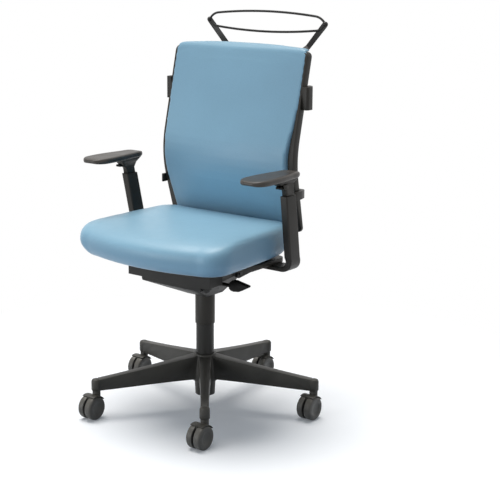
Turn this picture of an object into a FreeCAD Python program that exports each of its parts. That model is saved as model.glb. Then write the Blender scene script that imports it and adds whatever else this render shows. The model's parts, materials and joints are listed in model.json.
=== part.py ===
import FreeCAD, Part
import Sketcher
import math
import os
import re

from FreeCAD import Vector

# High back office chair on a five-leg swivel base.
# Frame: millimetres, +Z up, the sitter faces -Y and +X is the sitter's left.
# The origin is on the floor, on the axis of the column.

DRIVING = {
    # star base
    "leg_count": 5,
    "leg_turn": 38.4,
    "stem_reach": 308.5,
    "hub_height": 76,
    "hub_skirt": 41,
    "hub_top_radius": 31,
    "hub_root_radius": 37,
    "skirt_radius": 29,
    "leg_root_width": 34,
    "leg_mid_width": 25,
    "leg_waist_width": 21,
    "leg_drop": 40,
    "tip_height": 32,
    "tip_radius": 13.5,
    "tip_round": 7,
    # casters
    "wheel_radius": 32,
    "wheel_width": 18.5,
    "wheel_gap": 7,
    "wheel_round": 6,
    "web_side_gap": 1,
    "caster_trail": 20,
    "hood_gap": 0.8,
    "hood_wall": 1.8,
    "boss_rise": 8,
    "boss_radius": 11,
    "swivel_gap": 0.4,
    "axle_radius": 4,
    "stem_radius": 5.5,
    "stem_socket": 24,
    "stem_sink": 13,
    "run_fit": 0.05,
    "press_fit": 0.02,
    # column and gas spring
    "tube_radius": 24.5,
    "tube_foot_radius": 23.5,
    "tube_bore": 21.5,
    "tube_plate": 4,
    "tube_show": 86,
    "sleeve_lap": 9,
    "sleeve_radius": 27,
    "sleeve_gap": 0.4,
    "bush_length": 82,
    "bush_lip": 3,
    "lift_travel": 85,
    "lift_spare": 4,
    "cylinder_radius": 14,
    "cylinder_wall": 2,
    "cone_length": 32,
    "cone_taper": 0.6,
    "rod_radius": 5,
    "rod_neck_radius": 4,
    "rod_collar_radius": 9,
    "bearing_radius": 13,
    "bearing_washer": 2.5,
    "bearing_ball_radius": 2,
    "bearing_ball_count": 9,
    "valve_radius": 3,
    "valve_show": 6,
    # tilt mechanism
    "mech_half": 100,
    "mech_rear_half": 60,
    "mech_front": 145,
    "mech_rear": 100,
    "mech_box_height": 17,
    "mech_neck": 34,
    "mech_wall": 5,
    "mech_boss_radius": 33,
    "mech_skirt": 16,
    "socket_recess": 18,
    "recline_y": 56,
    "recline_drop": 10,
    "shaft_radius": 6,
    "seat_pivot_y": 125,
    "seat_pivot_drop": 9,
    "pin_radius": 5,
    "side_gap": 1,
    "side_plate": 8,
    "spring_wire": 4.5,
    "spring_turns": 5,
    "spring_pitch": 6,
    "spring_leg": 14,
    "spring_start": 8,
    "lever_pivot_x": 50,
    "lever_pin_radius": 3,
    "lever_width": 12,
    "lever_thick": 8,
    "lever_reach": 214,
    "lever_paddle_width": 40,
    "lever_paddle_length": 40,
    "lock_y": 60,
    "lock_drop": 12,
    "lock_rod_radius": 5,
    "lock_root": 134,
    "lock_reach": 194,
    "lock_thick": 16,
    "lock_height": 29,
    # seat
    "frame_gap": 25,
    "frame_plate": 11.7,
    "frame_half": 140,
    "frame_front": 150,
    "frame_rear": 82,
    "skirt_wall": 7,
    "skirt_front_drop": 29,
    "skirt_side_drop": 22,
    "skirt_rear": 22,
    "pan_thick": 11.7,
    "pan_front": 205,
    "pan_front_half": 140,
    "pan_side_y": 20,
    "pan_half": 205,
    "pan_rear": 92,
    "pan_corner": 24,
    "soft_gap": 0.3,
    "seat_half": 251,
    "seat_waist_half": 242,
    "seat_waist_y": 64,
    "seat_rear_half": 230,
    "seat_front": 300,
    "seat_rear": 118,
    "seat_bow": 30,
    "seat_bow_half": 190,
    "seat_corner_y": 205,
    "seat_rear_round": 60,
    "seat_thick": 90.5,
    "seat_crown_tilt": 1.1,
    "screw_radius": 3,
    "screw_head_radius": 6,
    "screw_head_height": 5,
    "screw_front_x": 80,
    "screw_front_y": 112,
    "screw_edge": 14,
    "screw_rear_y": 60,
    # arms
    "arm_bar_gap": 4,
    "arm_bar_width": 52,
    "arm_bar_thick": 13,
    "arm_bar_y": 50,
    "arm_bolt_start": 14,
    "arm_bolt_step": 26,
    "arm_x": 263,
    "arm_lean_forward": 11,
    "arm_lean_out": 2.6,
    "arm_sleeve_depth": 44,
    "arm_sleeve_thick": 22,
    "arm_sleeve_start": 30,
    "arm_sleeve_rise": 200,
    "arm_bore_depth": 155,
    "arm_post_depth": 34,
    "arm_post_thick": 16,
    "arm_post_fit": 0.1,
    "arm_post_inside": 110,
    "arm_post_show": 32,
    "arm_head_thick": 14,
    "arm_head_half": 21,
    "arm_head_front": 56,
    "arm_head_rear": 27,
    "arm_head_taper": 9,
    "pad_x": 268,
    "pad_front": 169,
    "pad_rear": 27,
    "pad_width": 82,
    "pad_thick": 16,
    "trigger_length": 18,
    "trigger_half": 7,
    "trigger_thick": 6,
    "trigger_play": 3.4,
    "trigger_pin_radius": 2,
    "cheek_wall": 4,
    # back
    "lumbar_rise": 251.3,
    "lumbar_y": 89.4,
    "lumbar_radius": 260,
    "upper_lean": 13.3,
    "lower_lean": 17,
    "back_rise": 548,
    "back_low": 60,
    "back_top_half": 224,
    "back_low_half": 224,
    "back_corner": 14,
    "shell_thick": 23,
    "shell_foot": 8,
    "shell_taper": 144,
    "top_bow": 8,
    "top_wrap": 8,
    "rim_top": 4,
    "rim_low": 17,
    "back_edge": 16,
    "back_edge_thin": 1,
    "lumbar_reach_up": 105,
    "lumbar_reach_down": 121,
    "back_crown": 20,
    "bar_rear": 180,
    "bar_upright": 18,
    "bar_half": 32,
    "bar_drop": 8,
    "bar_rise": 125,
    "spine_half": 26,
    "spine_thick": 24,
    "low_bar_rise": 166,
    "low_bar_height": 22,
    "low_bar_rear": 146.5,
    "high_bar_rise": 422,
    "high_bar_height": 30,
    "high_bar_rear": 172,
    "cross_bar_thick": 18,
    "low_lug_front": 90,
    "high_lug_front": 126,
    "high_lug_height": 61,
    "low_lug_height": 22,
    "low_lug_wall": 9,
    "high_lug_wall": 18,
    "bolt_radius": 4,
    "bolt_head_radius": 7,
    # coat hanger
    "hanger_half": 198,
    "hanger_y": 270,
    "hanger_rise": 607,
    "hanger_crest": 29,
    "hanger_sag": 27,
    "hanger_rod_radius": 3.2,
    "hanger_end_radius": 7.5,
    "hanger_bar_width": 16,
    "hanger_bar_thick": 4,
    "hanger_foot_x": 96,
    "hanger_end_turn": 60,
    "hanger_mid_turn": 6,
}

# Heights and places that follow from the driving sizes.
WORKED_OUT = {
    "hood_radius": "wheel_radius + hood_gap + hood_wall",
    "boss_top": "wheel_radius + hood_radius + boss_rise",
    "leg_floor": "boss_top + swivel_gap",
    "tip_top": "leg_floor + tip_height",
    "hub_top": "leg_floor + hub_height",
    "hub_floor": "leg_floor - hub_skirt",
    "leg_root_top": "tip_top + leg_drop",
    "web_half": "wheel_gap / 2 - web_side_gap",
    "wheel_outer": "wheel_gap / 2 + wheel_width",
    "tube_floor": "hub_floor + 6",
    "plate_top": "tube_floor + tube_plate",
    "bearing_top": "plate_top + 2 * bearing_washer + 2 * bearing_ball_radius",
    "collar_top": "bearing_top + 3",
    "tube_top": "hub_top + tube_show + sleeve_lap",
    "sleeve_floor": "tube_top - sleeve_lap",
    "sleeve_bore": "tube_radius + sleeve_gap",
    "bush_top": "tube_top + bush_lip",
    "socket_floor": "bush_top + lift_travel + lift_spare",
    "socket_top": "socket_floor + cone_length",
    "mech_top": "socket_top + socket_recess",
    "mech_box_floor": "mech_top - mech_box_height",
    "mech_floor": "socket_floor - mech_skirt",
    "cylinder_floor": "collar_top + lift_travel + 5",
    "gland_top": "cylinder_floor + 6",
    "cylinder_bore": "cylinder_radius - cylinder_wall",
    "piston_floor": "gland_top + 1",
    "valve_top": "socket_top + valve_show",
    "recline_z": "mech_top - recline_drop",
    "seat_pivot_z": "mech_top - seat_pivot_drop",
    "lock_z": "mech_top - lock_drop",
    "ear_in": "mech_half + side_gap",
    "ear_out": "mech_half + side_gap + side_plate",
    "recline_share": "(mech_rear - recline_y + 15) / (mech_rear + mech_front)",
    "recline_wall": "mech_rear_half + (mech_half - mech_rear_half) * recline_share",
    "link_in": "recline_wall + side_gap",
    "link_out": "recline_wall + side_gap + side_plate",
    "lever_floor": "valve_top + soft_gap",
    "frame_floor": "mech_top + frame_gap",
    "pan_floor": "frame_floor + frame_plate",
    "arm_bar_start": "frame_half + arm_bar_gap",
    "screw_rear_x": "frame_half - screw_edge",
    "seat_floor": "pan_floor + pan_thick + soft_gap",
    "sleeve_top_z": "pan_floor + arm_sleeve_rise",
    "head_floor": "sleeve_top_z + arm_post_show",
    "head_top": "head_floor + arm_head_thick",
    "pad_floor": "head_top + soft_gap",
    "lumbar_z": "seat_floor + lumbar_rise",
    "back_top": "seat_floor + back_rise",
    "back_floor": "seat_floor + back_low",
    "low_bar_z": "seat_floor + low_bar_rise",
    "high_bar_z": "seat_floor + high_bar_rise",
    "hanger_z": "seat_floor + hanger_rise",
}

doc = FreeCAD.newDocument("OfficeChair")


def fill_sheet(name, rows, mark):
    """Make a sheet with one named row for each size."""
    sheet = doc.addObject("Spreadsheet::Sheet", name)
    for row, (alias, content) in enumerate(rows.items(), 1):
        sheet.set(f"A{row}", alias)
        sheet.setAlias(f"B{row}", alias)
        sheet.set(f"B{row}", mark + (in_sheets(content) if mark else str(content)))
    doc.recompute()
    return sheet


def in_sheets(formula):
    """Write the sheet's name before each size that a formula uses."""

    def full_name(word):
        if word.group() in DRIVING:
            return "Sizes." + word.group()
        if word.group() in WORKED_OUT:
            return "Levels." + word.group()
        return word.group()

    return re.sub(r"[a-z_]+", full_name, str(formula))


sizes = fill_sheet("Sizes", DRIVING, "")
levels = fill_sheet("Levels", WORKED_OUT, "=")


def size(alias):
    """Value of a size, in millimetres or degrees."""
    sheet = sizes if alias in DRIVING else levels
    return float(sheet.get(alias))


def bind(target, prop, formula):
    """Tie a property of an object to the sheets."""
    target.setExpression(prop, in_sheets(formula))


SUB_PARTS = []


def sub_part(target, label):
    """Name an object as one of the chair's pieces."""
    target.Label = label
    SUB_PARTS.append(target)
    return target


def new_body(label):
    return sub_part(doc.addObject("PartDesign::Body", label), label)


def origin_feature(body, role):
    return next(item for item in body.Origin.OriginFeatures if item.Role == role)


def attached_sketch(body, role, depth):
    """Sketch on one of the body's origin planes, moved along the plane's normal."""
    sketch = body.newObject("Sketcher::SketchObject", body.Name + "_sketch")
    sketch.AttachmentSupport = (origin_feature(body, role), [""])
    sketch.MapMode = "FlatFace"
    bind(sketch, "AttachmentOffset.Base.z", depth)
    return sketch


def fix_point(sketch, geometry, which, place):
    """Hold a point of a sketch at a place measured from the sketch's origin."""
    for kind, formula in zip(("DistanceX", "DistanceY"), place):
        index = sketch.addConstraint(Sketcher.Constraint(kind, -1, 1, geometry, which, 1.0))
        bind(sketch, f"Constraints[{index}]", formula)


def outline(body, role, corners, depth="0"):
    """Closed outline of straight edges through the given corners."""
    sketch = attached_sketch(body, role, depth)
    count = len(corners)
    start = [Vector(0, 10, 0)]
    for index in range(1, count):
        turn = 2 * math.pi * index / count
        start.append(Vector(10 * math.sin(turn), 10 * math.cos(turn), 0))
    for index in range(count):
        sketch.addGeometry(Part.LineSegment(start[index], start[(index + 1) % count]), False)
    for index in range(count):
        sketch.addConstraint(Sketcher.Constraint("Coincident", index, 2, (index + 1) % count, 1))
    for index, corner in enumerate(corners):
        fix_point(sketch, index, 1, corner)
    return sketch


def rectangle(body, role, low, high, depth="0"):
    corners = [low, (high[0], low[1]), high, (low[0], high[1])]
    return outline(body, role, corners, depth)


def circles(body, role, places, radii, depth="0"):
    """Circles at the given places, each with its own radius."""
    sketch = attached_sketch(body, role, depth)
    for index, (place, radius) in enumerate(zip(places, radii)):
        sketch.addGeometry(Part.Circle(Vector(1, 1, 0), Vector(0, 0, 1), 5.0 + index), False)
        fix_point(sketch, index, 3, place)
        held = sketch.addConstraint(Sketcher.Constraint("Radius", index, 5.0 + index))
        bind(sketch, f"Constraints[{held}]", radius)
    return sketch


def add_pad(body, sketch, length, middle=False):
    """Material along the sketch's normal, or half to each side of it."""
    pad = body.newObject("PartDesign::Pad", body.Name + "_pad")
    pad.Profile = sketch
    pad.Midplane = middle
    bind(pad, "Length", length)
    return pad


def add_cut(body, sketch, length, middle=False):
    """Cut along the sketch's normal, or half to each side of it."""
    doc.recompute()
    before = body.Shape.Volume
    cut = body.newObject("PartDesign::Pocket", body.Name + "_cut")
    cut.Profile = sketch
    cut.Midplane = middle
    cut.Reversed = not middle
    bind(cut, "Length", length)
    doc.recompute()
    if body.Shape.Volume >= before:
        raise RuntimeError(f"{body.Label}: a cut removed nothing")
    return cut


def add_turned(body, sketch, axis="V_Axis"):
    turned = body.newObject("PartDesign::Revolution", body.Name + "_turned")
    turned.Profile = sketch
    turned.ReferenceAxis = (sketch, [axis])
    turned.Angle = 360
    return turned


def add_turned_cut(body, sketch, axis="V_Axis"):
    doc.recompute()
    before = body.Shape.Volume
    cut = body.newObject("PartDesign::Groove", body.Name + "_bore")
    cut.Profile = sketch
    cut.ReferenceAxis = (sketch, [axis])
    cut.Angle = 360
    doc.recompute()
    if body.Shape.Volume >= before:
        raise RuntimeError(f"{body.Label}: a turned cut removed nothing")
    return cut


def add_loft(body, sections, kind="PartDesign::AdditiveLoft"):
    loft = body.newObject(kind, body.Name + "_loft")
    loft.Profile = sections[0]
    loft.Sections = sections[1:]
    return loft


def add_round(body, radius, wanted):
    """Round the edges of the body that a test picks."""
    doc.recompute()
    base = body.Tip
    names = [f"Edge{n}" for n, edge in enumerate(base.Shape.Edges, 1) if wanted(edge)]
    if not names:
        raise RuntimeError(f"{body.Label}: no edge to round")
    rounded = body.newObject("PartDesign::Fillet", body.Name + "_round")
    rounded.Base = (base, names)
    bind(rounded, "Radius", radius)
    doc.recompute()
    return rounded


def is_along(edge, direction):
    """True for a straight edge along a direction."""
    if not isinstance(edge.Curve, Part.Line):
        return False
    return abs(abs(edge.tangentAt(edge.FirstParameter).dot(direction)) - 1) < 1e-6


def is_circle(edge, radius):
    return isinstance(edge.Curve, Part.Circle) and abs(edge.Curve.Radius - radius) < 1e-4


def place(target, x="0", y="0", z="0"):
    for axis, formula in zip("xyz", (x, y, z)):
        bind(target, f"Placement.Base.{axis}", formula)


def turned_piece(label, corners, axis="V_Axis"):
    """Piece turned from an outline of radius and height."""
    body = new_body(label)
    add_turned(body, outline(body, "XZ_Plane", corners), axis)
    return body


def cross_pin(label, radius, half_length, y, z):
    """Round pin across the chair, centred on its middle plane."""
    pin = sub_part(doc.addObject("Part::Cylinder", label), label)
    bind(pin, "Radius", radius)
    bind(pin, "Height", f"2 * ({half_length})")
    pin.Placement.Rotation = FreeCAD.Rotation(Vector(0, 1, 0), 90)
    place(pin, f"-({half_length})", y, z)
    return pin


def group(label, members):
    """Like pieces kept together as separate solids of one sub-part."""
    joined = doc.addObject("Part::Compound", label)
    joined.Links = members
    return sub_part(joined, label)


def shaped(label, shape):
    """Sub-part whose form is worked out from the sheets in code."""
    piece = doc.addObject("Part::Feature", label)
    piece.Shape = shape
    piece.Placement = FreeCAD.Placement()
    return sub_part(piece, label)


def mirrored(label, source):
    """Same piece on the other side of the chair's middle plane."""
    twin = doc.addObject("Part::Mirroring", label)
    twin.Source = source
    twin.Normal = Vector(1, 0, 0)
    twin.Base = Vector(0, 0, 0)
    return sub_part(twin, label)


def loft_solid(wires, ruled=False):
    solid = Part.makeLoft(wires, True, ruled)
    if solid.Volume < 0:
        solid.reverse()
    return solid


def rounded_section(centre, across, along, width, height, corner):
    """Rectangle with round corners, spanned by two directions about a centre."""
    half_w = width / 2
    half_h = height / 2
    bend = corner * (1 - math.sqrt(0.5))

    def at(a, b):
        return centre + across * a + along * b

    edges = []
    turns = [(1, 1), (-1, 1), (-1, -1), (1, -1)]
    for index, (sx, sy) in enumerate(turns):
        upright = (at(sx * half_w, sy * (half_h - corner)), at(sx * (half_w - corner), sy * half_h))
        first, last = upright if index % 2 == 0 else upright[::-1]
        middle = at(sx * (half_w - bend), sy * (half_h - bend))
        edges.append(Part.Arc(first, middle, last).toShape())
    joined = []
    for index, edge in enumerate(edges):
        following = edges[(index + 1) % len(edges)]
        joined.append(edge)
        joined.append(Part.makeLine(edge.Vertexes[-1].Point, following.Vertexes[0].Point))
    return Part.Wire(joined)


# Star base: turned hub with a tapered bore, five lofted legs with caster sockets
def build_star_base():
    body = new_body("star_base")
    fit = "press_fit"
    hub = [
        (f"tube_radius + {fit}", "hub_top"),
        ("hub_top_radius", "hub_top"),
        ("hub_root_radius", "leg_floor + 12"),
        ("hub_root_radius - 2", "leg_floor"),
        ("skirt_radius", "leg_floor - 3"),
        ("skirt_radius - 2", "hub_floor"),
        (f"tube_foot_radius + {fit}", "hub_floor"),
        (f"tube_foot_radius + {fit}", "tube_floor"),
    ]
    add_turned(body, outline(body, "XZ_Plane", hub))
    bore_edge = "tube_radius + 3"
    stations = [
        (bore_edge, "leg_root_width", "leg_floor + 6", "leg_root_top"),
        ("stem_reach * 0.45", "leg_mid_width", "leg_floor + 4", "tip_top + leg_drop * 0.55"),
        ("stem_reach * 0.8", "leg_waist_width", "leg_floor + 1", "tip_top + leg_drop * 0.16"),
        ("stem_reach - tip_radius / 2", "2 * tip_radius - 6", "leg_floor", "tip_top - 1"),
    ]
    sections = []
    for reach, width, floor, top in stations:
        low = (f"-({width}) / 2", floor)
        sections.append(rectangle(body, "XZ_Plane", low, (f"({width}) / 2", top), reach))
    leg = add_loft(body, sections)
    tip_profile = [
        ("0", "leg_floor"),
        ("tip_radius - 1", "leg_floor"),
        ("tip_radius", "leg_floor + 2"),
        ("tip_radius", "tip_top - tip_round"),
        ("tip_radius - tip_round * 0.3", "tip_top - tip_round * 0.3"),
        ("tip_radius - tip_round", "tip_top"),
        ("0", "tip_top"),
    ]
    tip = add_turned(body, outline(body, "XZ_Plane", tip_profile, "stem_reach"))
    socket = add_cut(
        body,
        circles(body, "XY_Plane", [("0", "-stem_reach")], ["stem_radius + run_fit"], "leg_floor"),
        "stem_socket",
    )
    legs = body.newObject("PartDesign::PolarPattern", "legs")
    legs.Originals = [leg, tip, socket]
    legs.Axis = (origin_feature(body, "Z_Axis"), [""])
    legs.Angle = 360
    bind(legs, "Occurrences", "leg_count")
    body.Tip = legs
    body.Placement.Rotation = FreeCAD.Rotation(Vector(0, 0, 1), 1)
    bind(body, "Placement.Rotation.Angle", "leg_turn")
    return body


# Casters: hooded housing, steel stem and axle, and two wheels
def build_caster(number):
    turn = f"(leg_turn + {number - 1} * 360 / leg_count)"
    x = f"stem_reach * sin({turn})"
    y = f"-stem_reach * cos({turn})"
    name = f"caster_{number}"
    housing = build_caster_housing(f"{name}_housing")
    place(housing, x, y)
    stem_low = "boss_top - stem_sink"
    stem_corners = [
        ("0", stem_low),
        ("stem_radius", stem_low),
        ("stem_radius", "leg_floor + stem_socket - 2.5"),
        ("stem_radius - 1.5", "leg_floor + stem_socket - 1"),
        ("0", "leg_floor + stem_socket - 1"),
    ]
    stem = turned_piece(f"{name}_stem", stem_corners)
    place(stem, x, y)
    axle_half = "(wheel_outer - 5)"
    axle = cross_pin(f"{name}_axle", "axle_radius", axle_half, "0", "wheel_radius")
    place(axle, f"{x} - {axle_half}", f"{y} - caster_trail", "wheel_radius")
    for side, sign in (("left", 1), ("right", -1)):
        wheel = build_wheel(f"{name}_wheel_{side}", sign)
        place(wheel, x, f"{y} - caster_trail", "wheel_radius")


def build_caster_housing(label):
    body = new_body(label)
    centre = ("-caster_trail", "wheel_radius")

    def around(radius, angle):
        return (
            f"-caster_trail + ({radius}) * cos({angle})",
            f"wheel_radius + ({radius}) * sin({angle})",
        )

    hood_rear = 36
    hood_front = 112
    boss_low = "wheel_radius * 1.4"
    boss = circles(body, "XY_Plane", [("0", "0")], ["boss_radius"], boss_low)
    add_pad(body, boss, f"boss_top - {boss_low}")
    wheel_room = circles(body, "YZ_Plane", [centre], ["hood_radius - hood_wall"])
    add_cut(body, wheel_room, "2 * wheel_outer", True)
    rings = circles(
        body,
        "YZ_Plane",
        [centre, centre],
        ["hood_radius", "hood_radius - hood_wall"],
    )
    add_pad(body, rings, "2 * wheel_outer - 2", True)
    away = "3 * wheel_radius"
    below = [
        centre,
        around(away, hood_rear),
        around(away, -45),
        around(away, -135),
        around(away, 170),
        around(away, hood_front),
    ]
    add_cut(body, outline(body, "YZ_Plane", below), "2 * wheel_outer + 2", True)
    in_hood = "hood_radius - hood_wall / 2"
    web = [around(in_hood, angle) for angle in (38, 54, 73, 92, 110)]
    web += [around("wheel_radius * 0.62", angle) for angle in (165, 215, 265, 315)]
    add_pad(body, outline(body, "YZ_Plane", web), "2 * web_half", True)
    bore = circles(body, "XY_Plane", [("0", "0")], ["stem_radius + press_fit"], "boss_top - stem_sink")
    add_cut(body, bore, "stem_sink")
    hole = circles(body, "YZ_Plane", [centre], ["axle_radius + press_fit"])
    add_cut(body, hole, "4 * web_half", True)
    return body


def build_wheel(label, sign):
    """One wheel of a caster; its outer face is closed over the axle's end."""

    def at(reach, radius):
        return (f"{sign} * ({reach})", radius)

    near = "wheel_gap / 2"
    bore = "axle_radius + run_fit"
    corners = [
        at(near, bore),
        at(near, "wheel_radius * 0.32"),
        at(f"{near} + 2.5", "wheel_radius * 0.4"),
        at(f"{near} + 2.5", "wheel_radius * 0.76"),
        at(near, "wheel_radius * 0.84"),
        at(near, "wheel_radius"),
        at("wheel_outer", "wheel_radius"),
        at("wheel_outer", "wheel_radius * 0.55"),
        at("wheel_outer - 1.6", "wheel_radius * 0.48"),
        at("wheel_outer - 1.6", "0"),
        at("wheel_outer - 4", "0"),
        at("wheel_outer - 4", bore),
    ]
    body = turned_piece(label, corners, "H_Axis")
    outer = size("wheel_outer")
    radius = size("wheel_radius")

    def outer_rim(edge):
        return is_circle(edge, radius) and abs(abs(edge.Curve.Center.x) - outer) < 1e-4

    add_round(body, "wheel_round", outer_rim)
    return body


# Column: outer tube in the hub, guide bush, gas spring and cover sleeve
def build_column():
    turned_piece("lift_tube", [
        ("rod_neck_radius + 0.4", "tube_floor"),
        ("tube_foot_radius", "tube_floor"),
        ("tube_radius", "hub_top"),
        ("tube_radius", "tube_top"),
        ("tube_bore", "tube_top"),
        ("tube_bore", "plate_top"),
        ("rod_neck_radius + 0.4", "plate_top"),
    ])
    bush_bore = "cylinder_radius + run_fit"
    turned_piece("lift_bush", [
        (bush_bore, "tube_top - bush_length"),
        ("tube_bore - press_fit", "tube_top - bush_length"),
        ("tube_bore - press_fit", "tube_top"),
        ("tube_radius - 0.2", "tube_top"),
        ("tube_radius - 0.2", "bush_top"),
        (bush_bore, "bush_top"),
    ])
    build_bearing()
    turned_piece("piston_rod", [
        ("0", "hub_floor"),
        ("rod_neck_radius", "hub_floor"),
        ("rod_neck_radius", "bearing_top"),
        ("rod_collar_radius", "bearing_top"),
        ("rod_collar_radius", "collar_top"),
        ("rod_radius", "collar_top"),
        ("rod_radius", "piston_floor"),
        ("cylinder_bore - run_fit", "piston_floor"),
        ("cylinder_bore - run_fit", "piston_floor + 12"),
        ("0", "piston_floor + 12"),
    ])
    clip_top = "tube_floor - 0.3"
    turned_piece("rod_clip", [
        ("rod_neck_radius + press_fit", f"{clip_top} - 2"),
        ("rod_neck_radius + 4", f"{clip_top} - 2"),
        ("rod_neck_radius + 4", clip_top),
        ("rod_neck_radius + press_fit", clip_top),
    ])
    turned_piece("gas_cylinder", [
        ("rod_radius + run_fit", "cylinder_floor"),
        ("cylinder_radius", "cylinder_floor"),
        ("cylinder_radius", "socket_floor"),
        ("cylinder_radius - cone_taper", "socket_top"),
        ("valve_radius + run_fit", "socket_top"),
        ("valve_radius + run_fit", "socket_top - 6"),
        ("cylinder_bore", "socket_top - 6"),
        ("cylinder_bore", "gland_top"),
        ("rod_radius + run_fit", "gland_top"),
    ])
    valve_low = "socket_top - 12"
    turned_piece("valve_pin", [
        ("0", valve_low),
        ("valve_radius", valve_low),
        ("valve_radius", "valve_top - 1"),
        ("valve_radius - 1", "valve_top"),
        ("0", "valve_top"),
    ])
    turned_piece("column_sleeve", [
        ("sleeve_bore", "sleeve_floor"),
        ("sleeve_radius - 0.8", "sleeve_floor"),
        ("sleeve_radius", "sleeve_floor + 1"),
        ("sleeve_radius", "socket_floor"),
        ("sleeve_bore", "socket_floor"),
    ])


def build_bearing():
    """Thrust bearing on the tube's floor: two washers and a ring of balls."""
    inside = "rod_neck_radius + 0.4"
    members = []
    for low in ("plate_top", "bearing_top - bearing_washer"):
        ring = doc.addObject("PartDesign::Body", "bearing_washer")
        high = f"({low}) + bearing_washer"
        corners = [(inside, low), ("bearing_radius", low), ("bearing_radius", high), (inside, high)]
        add_turned(ring, outline(ring, "XZ_Plane", corners))
        members.append(ring)
    for index in range(int(size("bearing_ball_count"))):
        ball = doc.addObject("Part::Sphere", "bearing_ball")
        bind(ball, "Radius", "bearing_ball_radius - press_fit")
        turn = f"({index} * 360 / bearing_ball_count)"
        reach = "((rod_neck_radius + 0.4 + bearing_radius) / 2)"
        height = "plate_top + bearing_washer + bearing_ball_radius"
        place(ball, f"{reach} * cos({turn})", f"{reach} * sin({turn})", height)
        members.append(ball)
    group("thrust_bearing", members)


# Tilt mechanism: tapered housing, shafts, springs and levers
def build_housing():
    body = new_body("mechanism_housing")

    def box_outline(wall, depth):
        corners = [
            (f"-(mech_half - {wall})", f"-(mech_front - {wall})"),
            (f"mech_half - {wall}", f"-(mech_front - {wall})"),
            (f"mech_rear_half - {wall}", f"mech_rear - {wall}"),
            (f"-(mech_rear_half - {wall})", f"mech_rear - {wall}"),
        ]
        return outline(body, "XY_Plane", corners, depth)

    def neck_outline(spread, depth):
        reach = f"mech_neck + {spread}"
        return rectangle(body, "XY_Plane", (f"-({reach})", f"-({reach})"), (reach, reach), depth)

    add_loft(body, [box_outline("0", "mech_box_floor"), neck_outline("0", "mech_floor")])
    add_pad(body, box_outline("0", "mech_box_floor"), "mech_box_height")
    inside_floor = "mech_floor + mech_skirt * 0.6"
    inside = [box_outline("mech_wall", "mech_box_floor + 1"), neck_outline("4", inside_floor)]
    add_loft(body, inside, "PartDesign::SubtractiveLoft")
    add_cut(body, box_outline("mech_wall", "mech_box_floor + 1"), "mech_box_height")
    boss = circles(body, "XY_Plane", [("0", "0")], ["mech_boss_radius"], "mech_floor")
    add_pad(body, boss, "socket_top - mech_floor")
    lug_low = "lever_pivot_x + lever_pin_radius + 4"
    lug_high = "lever_pivot_x - lever_pin_radius - 4"
    for sign in (1, -1):
        near = f"{sign} * (lever_width / 2 + 0.5)"
        far = f"{sign} * (lever_width / 2 + 6)"
        lug = rectangle(
            body,
            "XY_Plane",
            (f"-({lug_low})", near),
            (f"-({lug_high})", far),
            "mech_box_floor - 21",
        )
        add_pad(body, lug, "lever_floor + lever_thick + 2 - (mech_box_floor - 21)")
    bore = [
        ("0", "mech_floor - 1"),
        ("sleeve_radius + press_fit", "mech_floor - 1"),
        ("sleeve_radius + press_fit", "socket_floor"),
        ("cylinder_radius + press_fit", "socket_floor"),
        ("cylinder_radius - cone_taper + press_fit", "socket_top"),
        ("cylinder_radius - cone_taper + press_fit", "mech_top + 1"),
        ("0", "mech_top + 1"),
    ]
    add_turned_cut(body, outline(body, "XZ_Plane", bore))
    across = "2 * mech_half + 2"
    pins = circles(
        body,
        "YZ_Plane",
        [("recline_y", "recline_z"), ("-seat_pivot_y", "seat_pivot_z")],
        ["shaft_radius + press_fit", "pin_radius + press_fit"],
    )
    add_cut(body, pins, across, True)
    lock = circles(body, "YZ_Plane", [("-lock_y", "lock_z")], ["lock_rod_radius + run_fit"])
    add_cut(body, lock, "mech_half + 1")
    lever_pin = circles(
        body,
        "XZ_Plane",
        [("-lever_pivot_x", "lever_floor + lever_thick / 2")],
        ["lever_pin_radius + press_fit"],
    )
    add_cut(body, lever_pin, "lever_width + 16", True)
    slot = rectangle(
        body,
        "XY_Plane",
        ("-mech_half - 1", "-(lever_width / 2 + 2)"),
        ("-(mech_rear_half + 8)", "lever_width / 2 + 2"),
        "lever_floor - 2",
    )
    add_cut(body, slot, "mech_box_height")


def build_mechanism():
    build_housing()
    cross_pin("recline_shaft", "shaft_radius", "link_out + 3", "recline_y", "recline_z")
    cross_pin("seat_pivot_pin", "pin_radius", "ear_out + 3", "-seat_pivot_y", "seat_pivot_z")
    build_springs()
    build_height_lever()
    build_lock_lever()


def arc_from(start, heading, end):
    """Arc that leaves a point along a heading and ends at another point."""
    chord = end - start
    line = Vector(chord).normalize()
    aside = heading - line * heading.dot(line)
    if aside.Length < 1e-9:
        return Part.makeLine(start, end)
    half_turn = heading.getAngle(chord)
    rise = chord.Length / 2 * math.tan(half_turn / 2)
    middle = (start + end) / 2 + aside.normalize() * rise
    return Part.Arc(start, middle, end).toShape()


def two_arcs(start, heading, end, end_heading):
    """Two arcs that meet smoothly and join two points along their headings."""
    span = end - start
    both = heading + end_heading
    spread = 2 * (1 - heading.dot(end_heading))
    reach = (-span.dot(both) + math.sqrt(span.dot(both) ** 2 + spread * span.dot(span))) / spread
    joint = (start + end + (heading - end_heading) * reach) / 2
    joint_heading = (end - end_heading * reach) - (start + heading * reach)
    return [arc_from(start, heading, joint), arc_from(joint, joint_heading.normalize(), end)]


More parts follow.
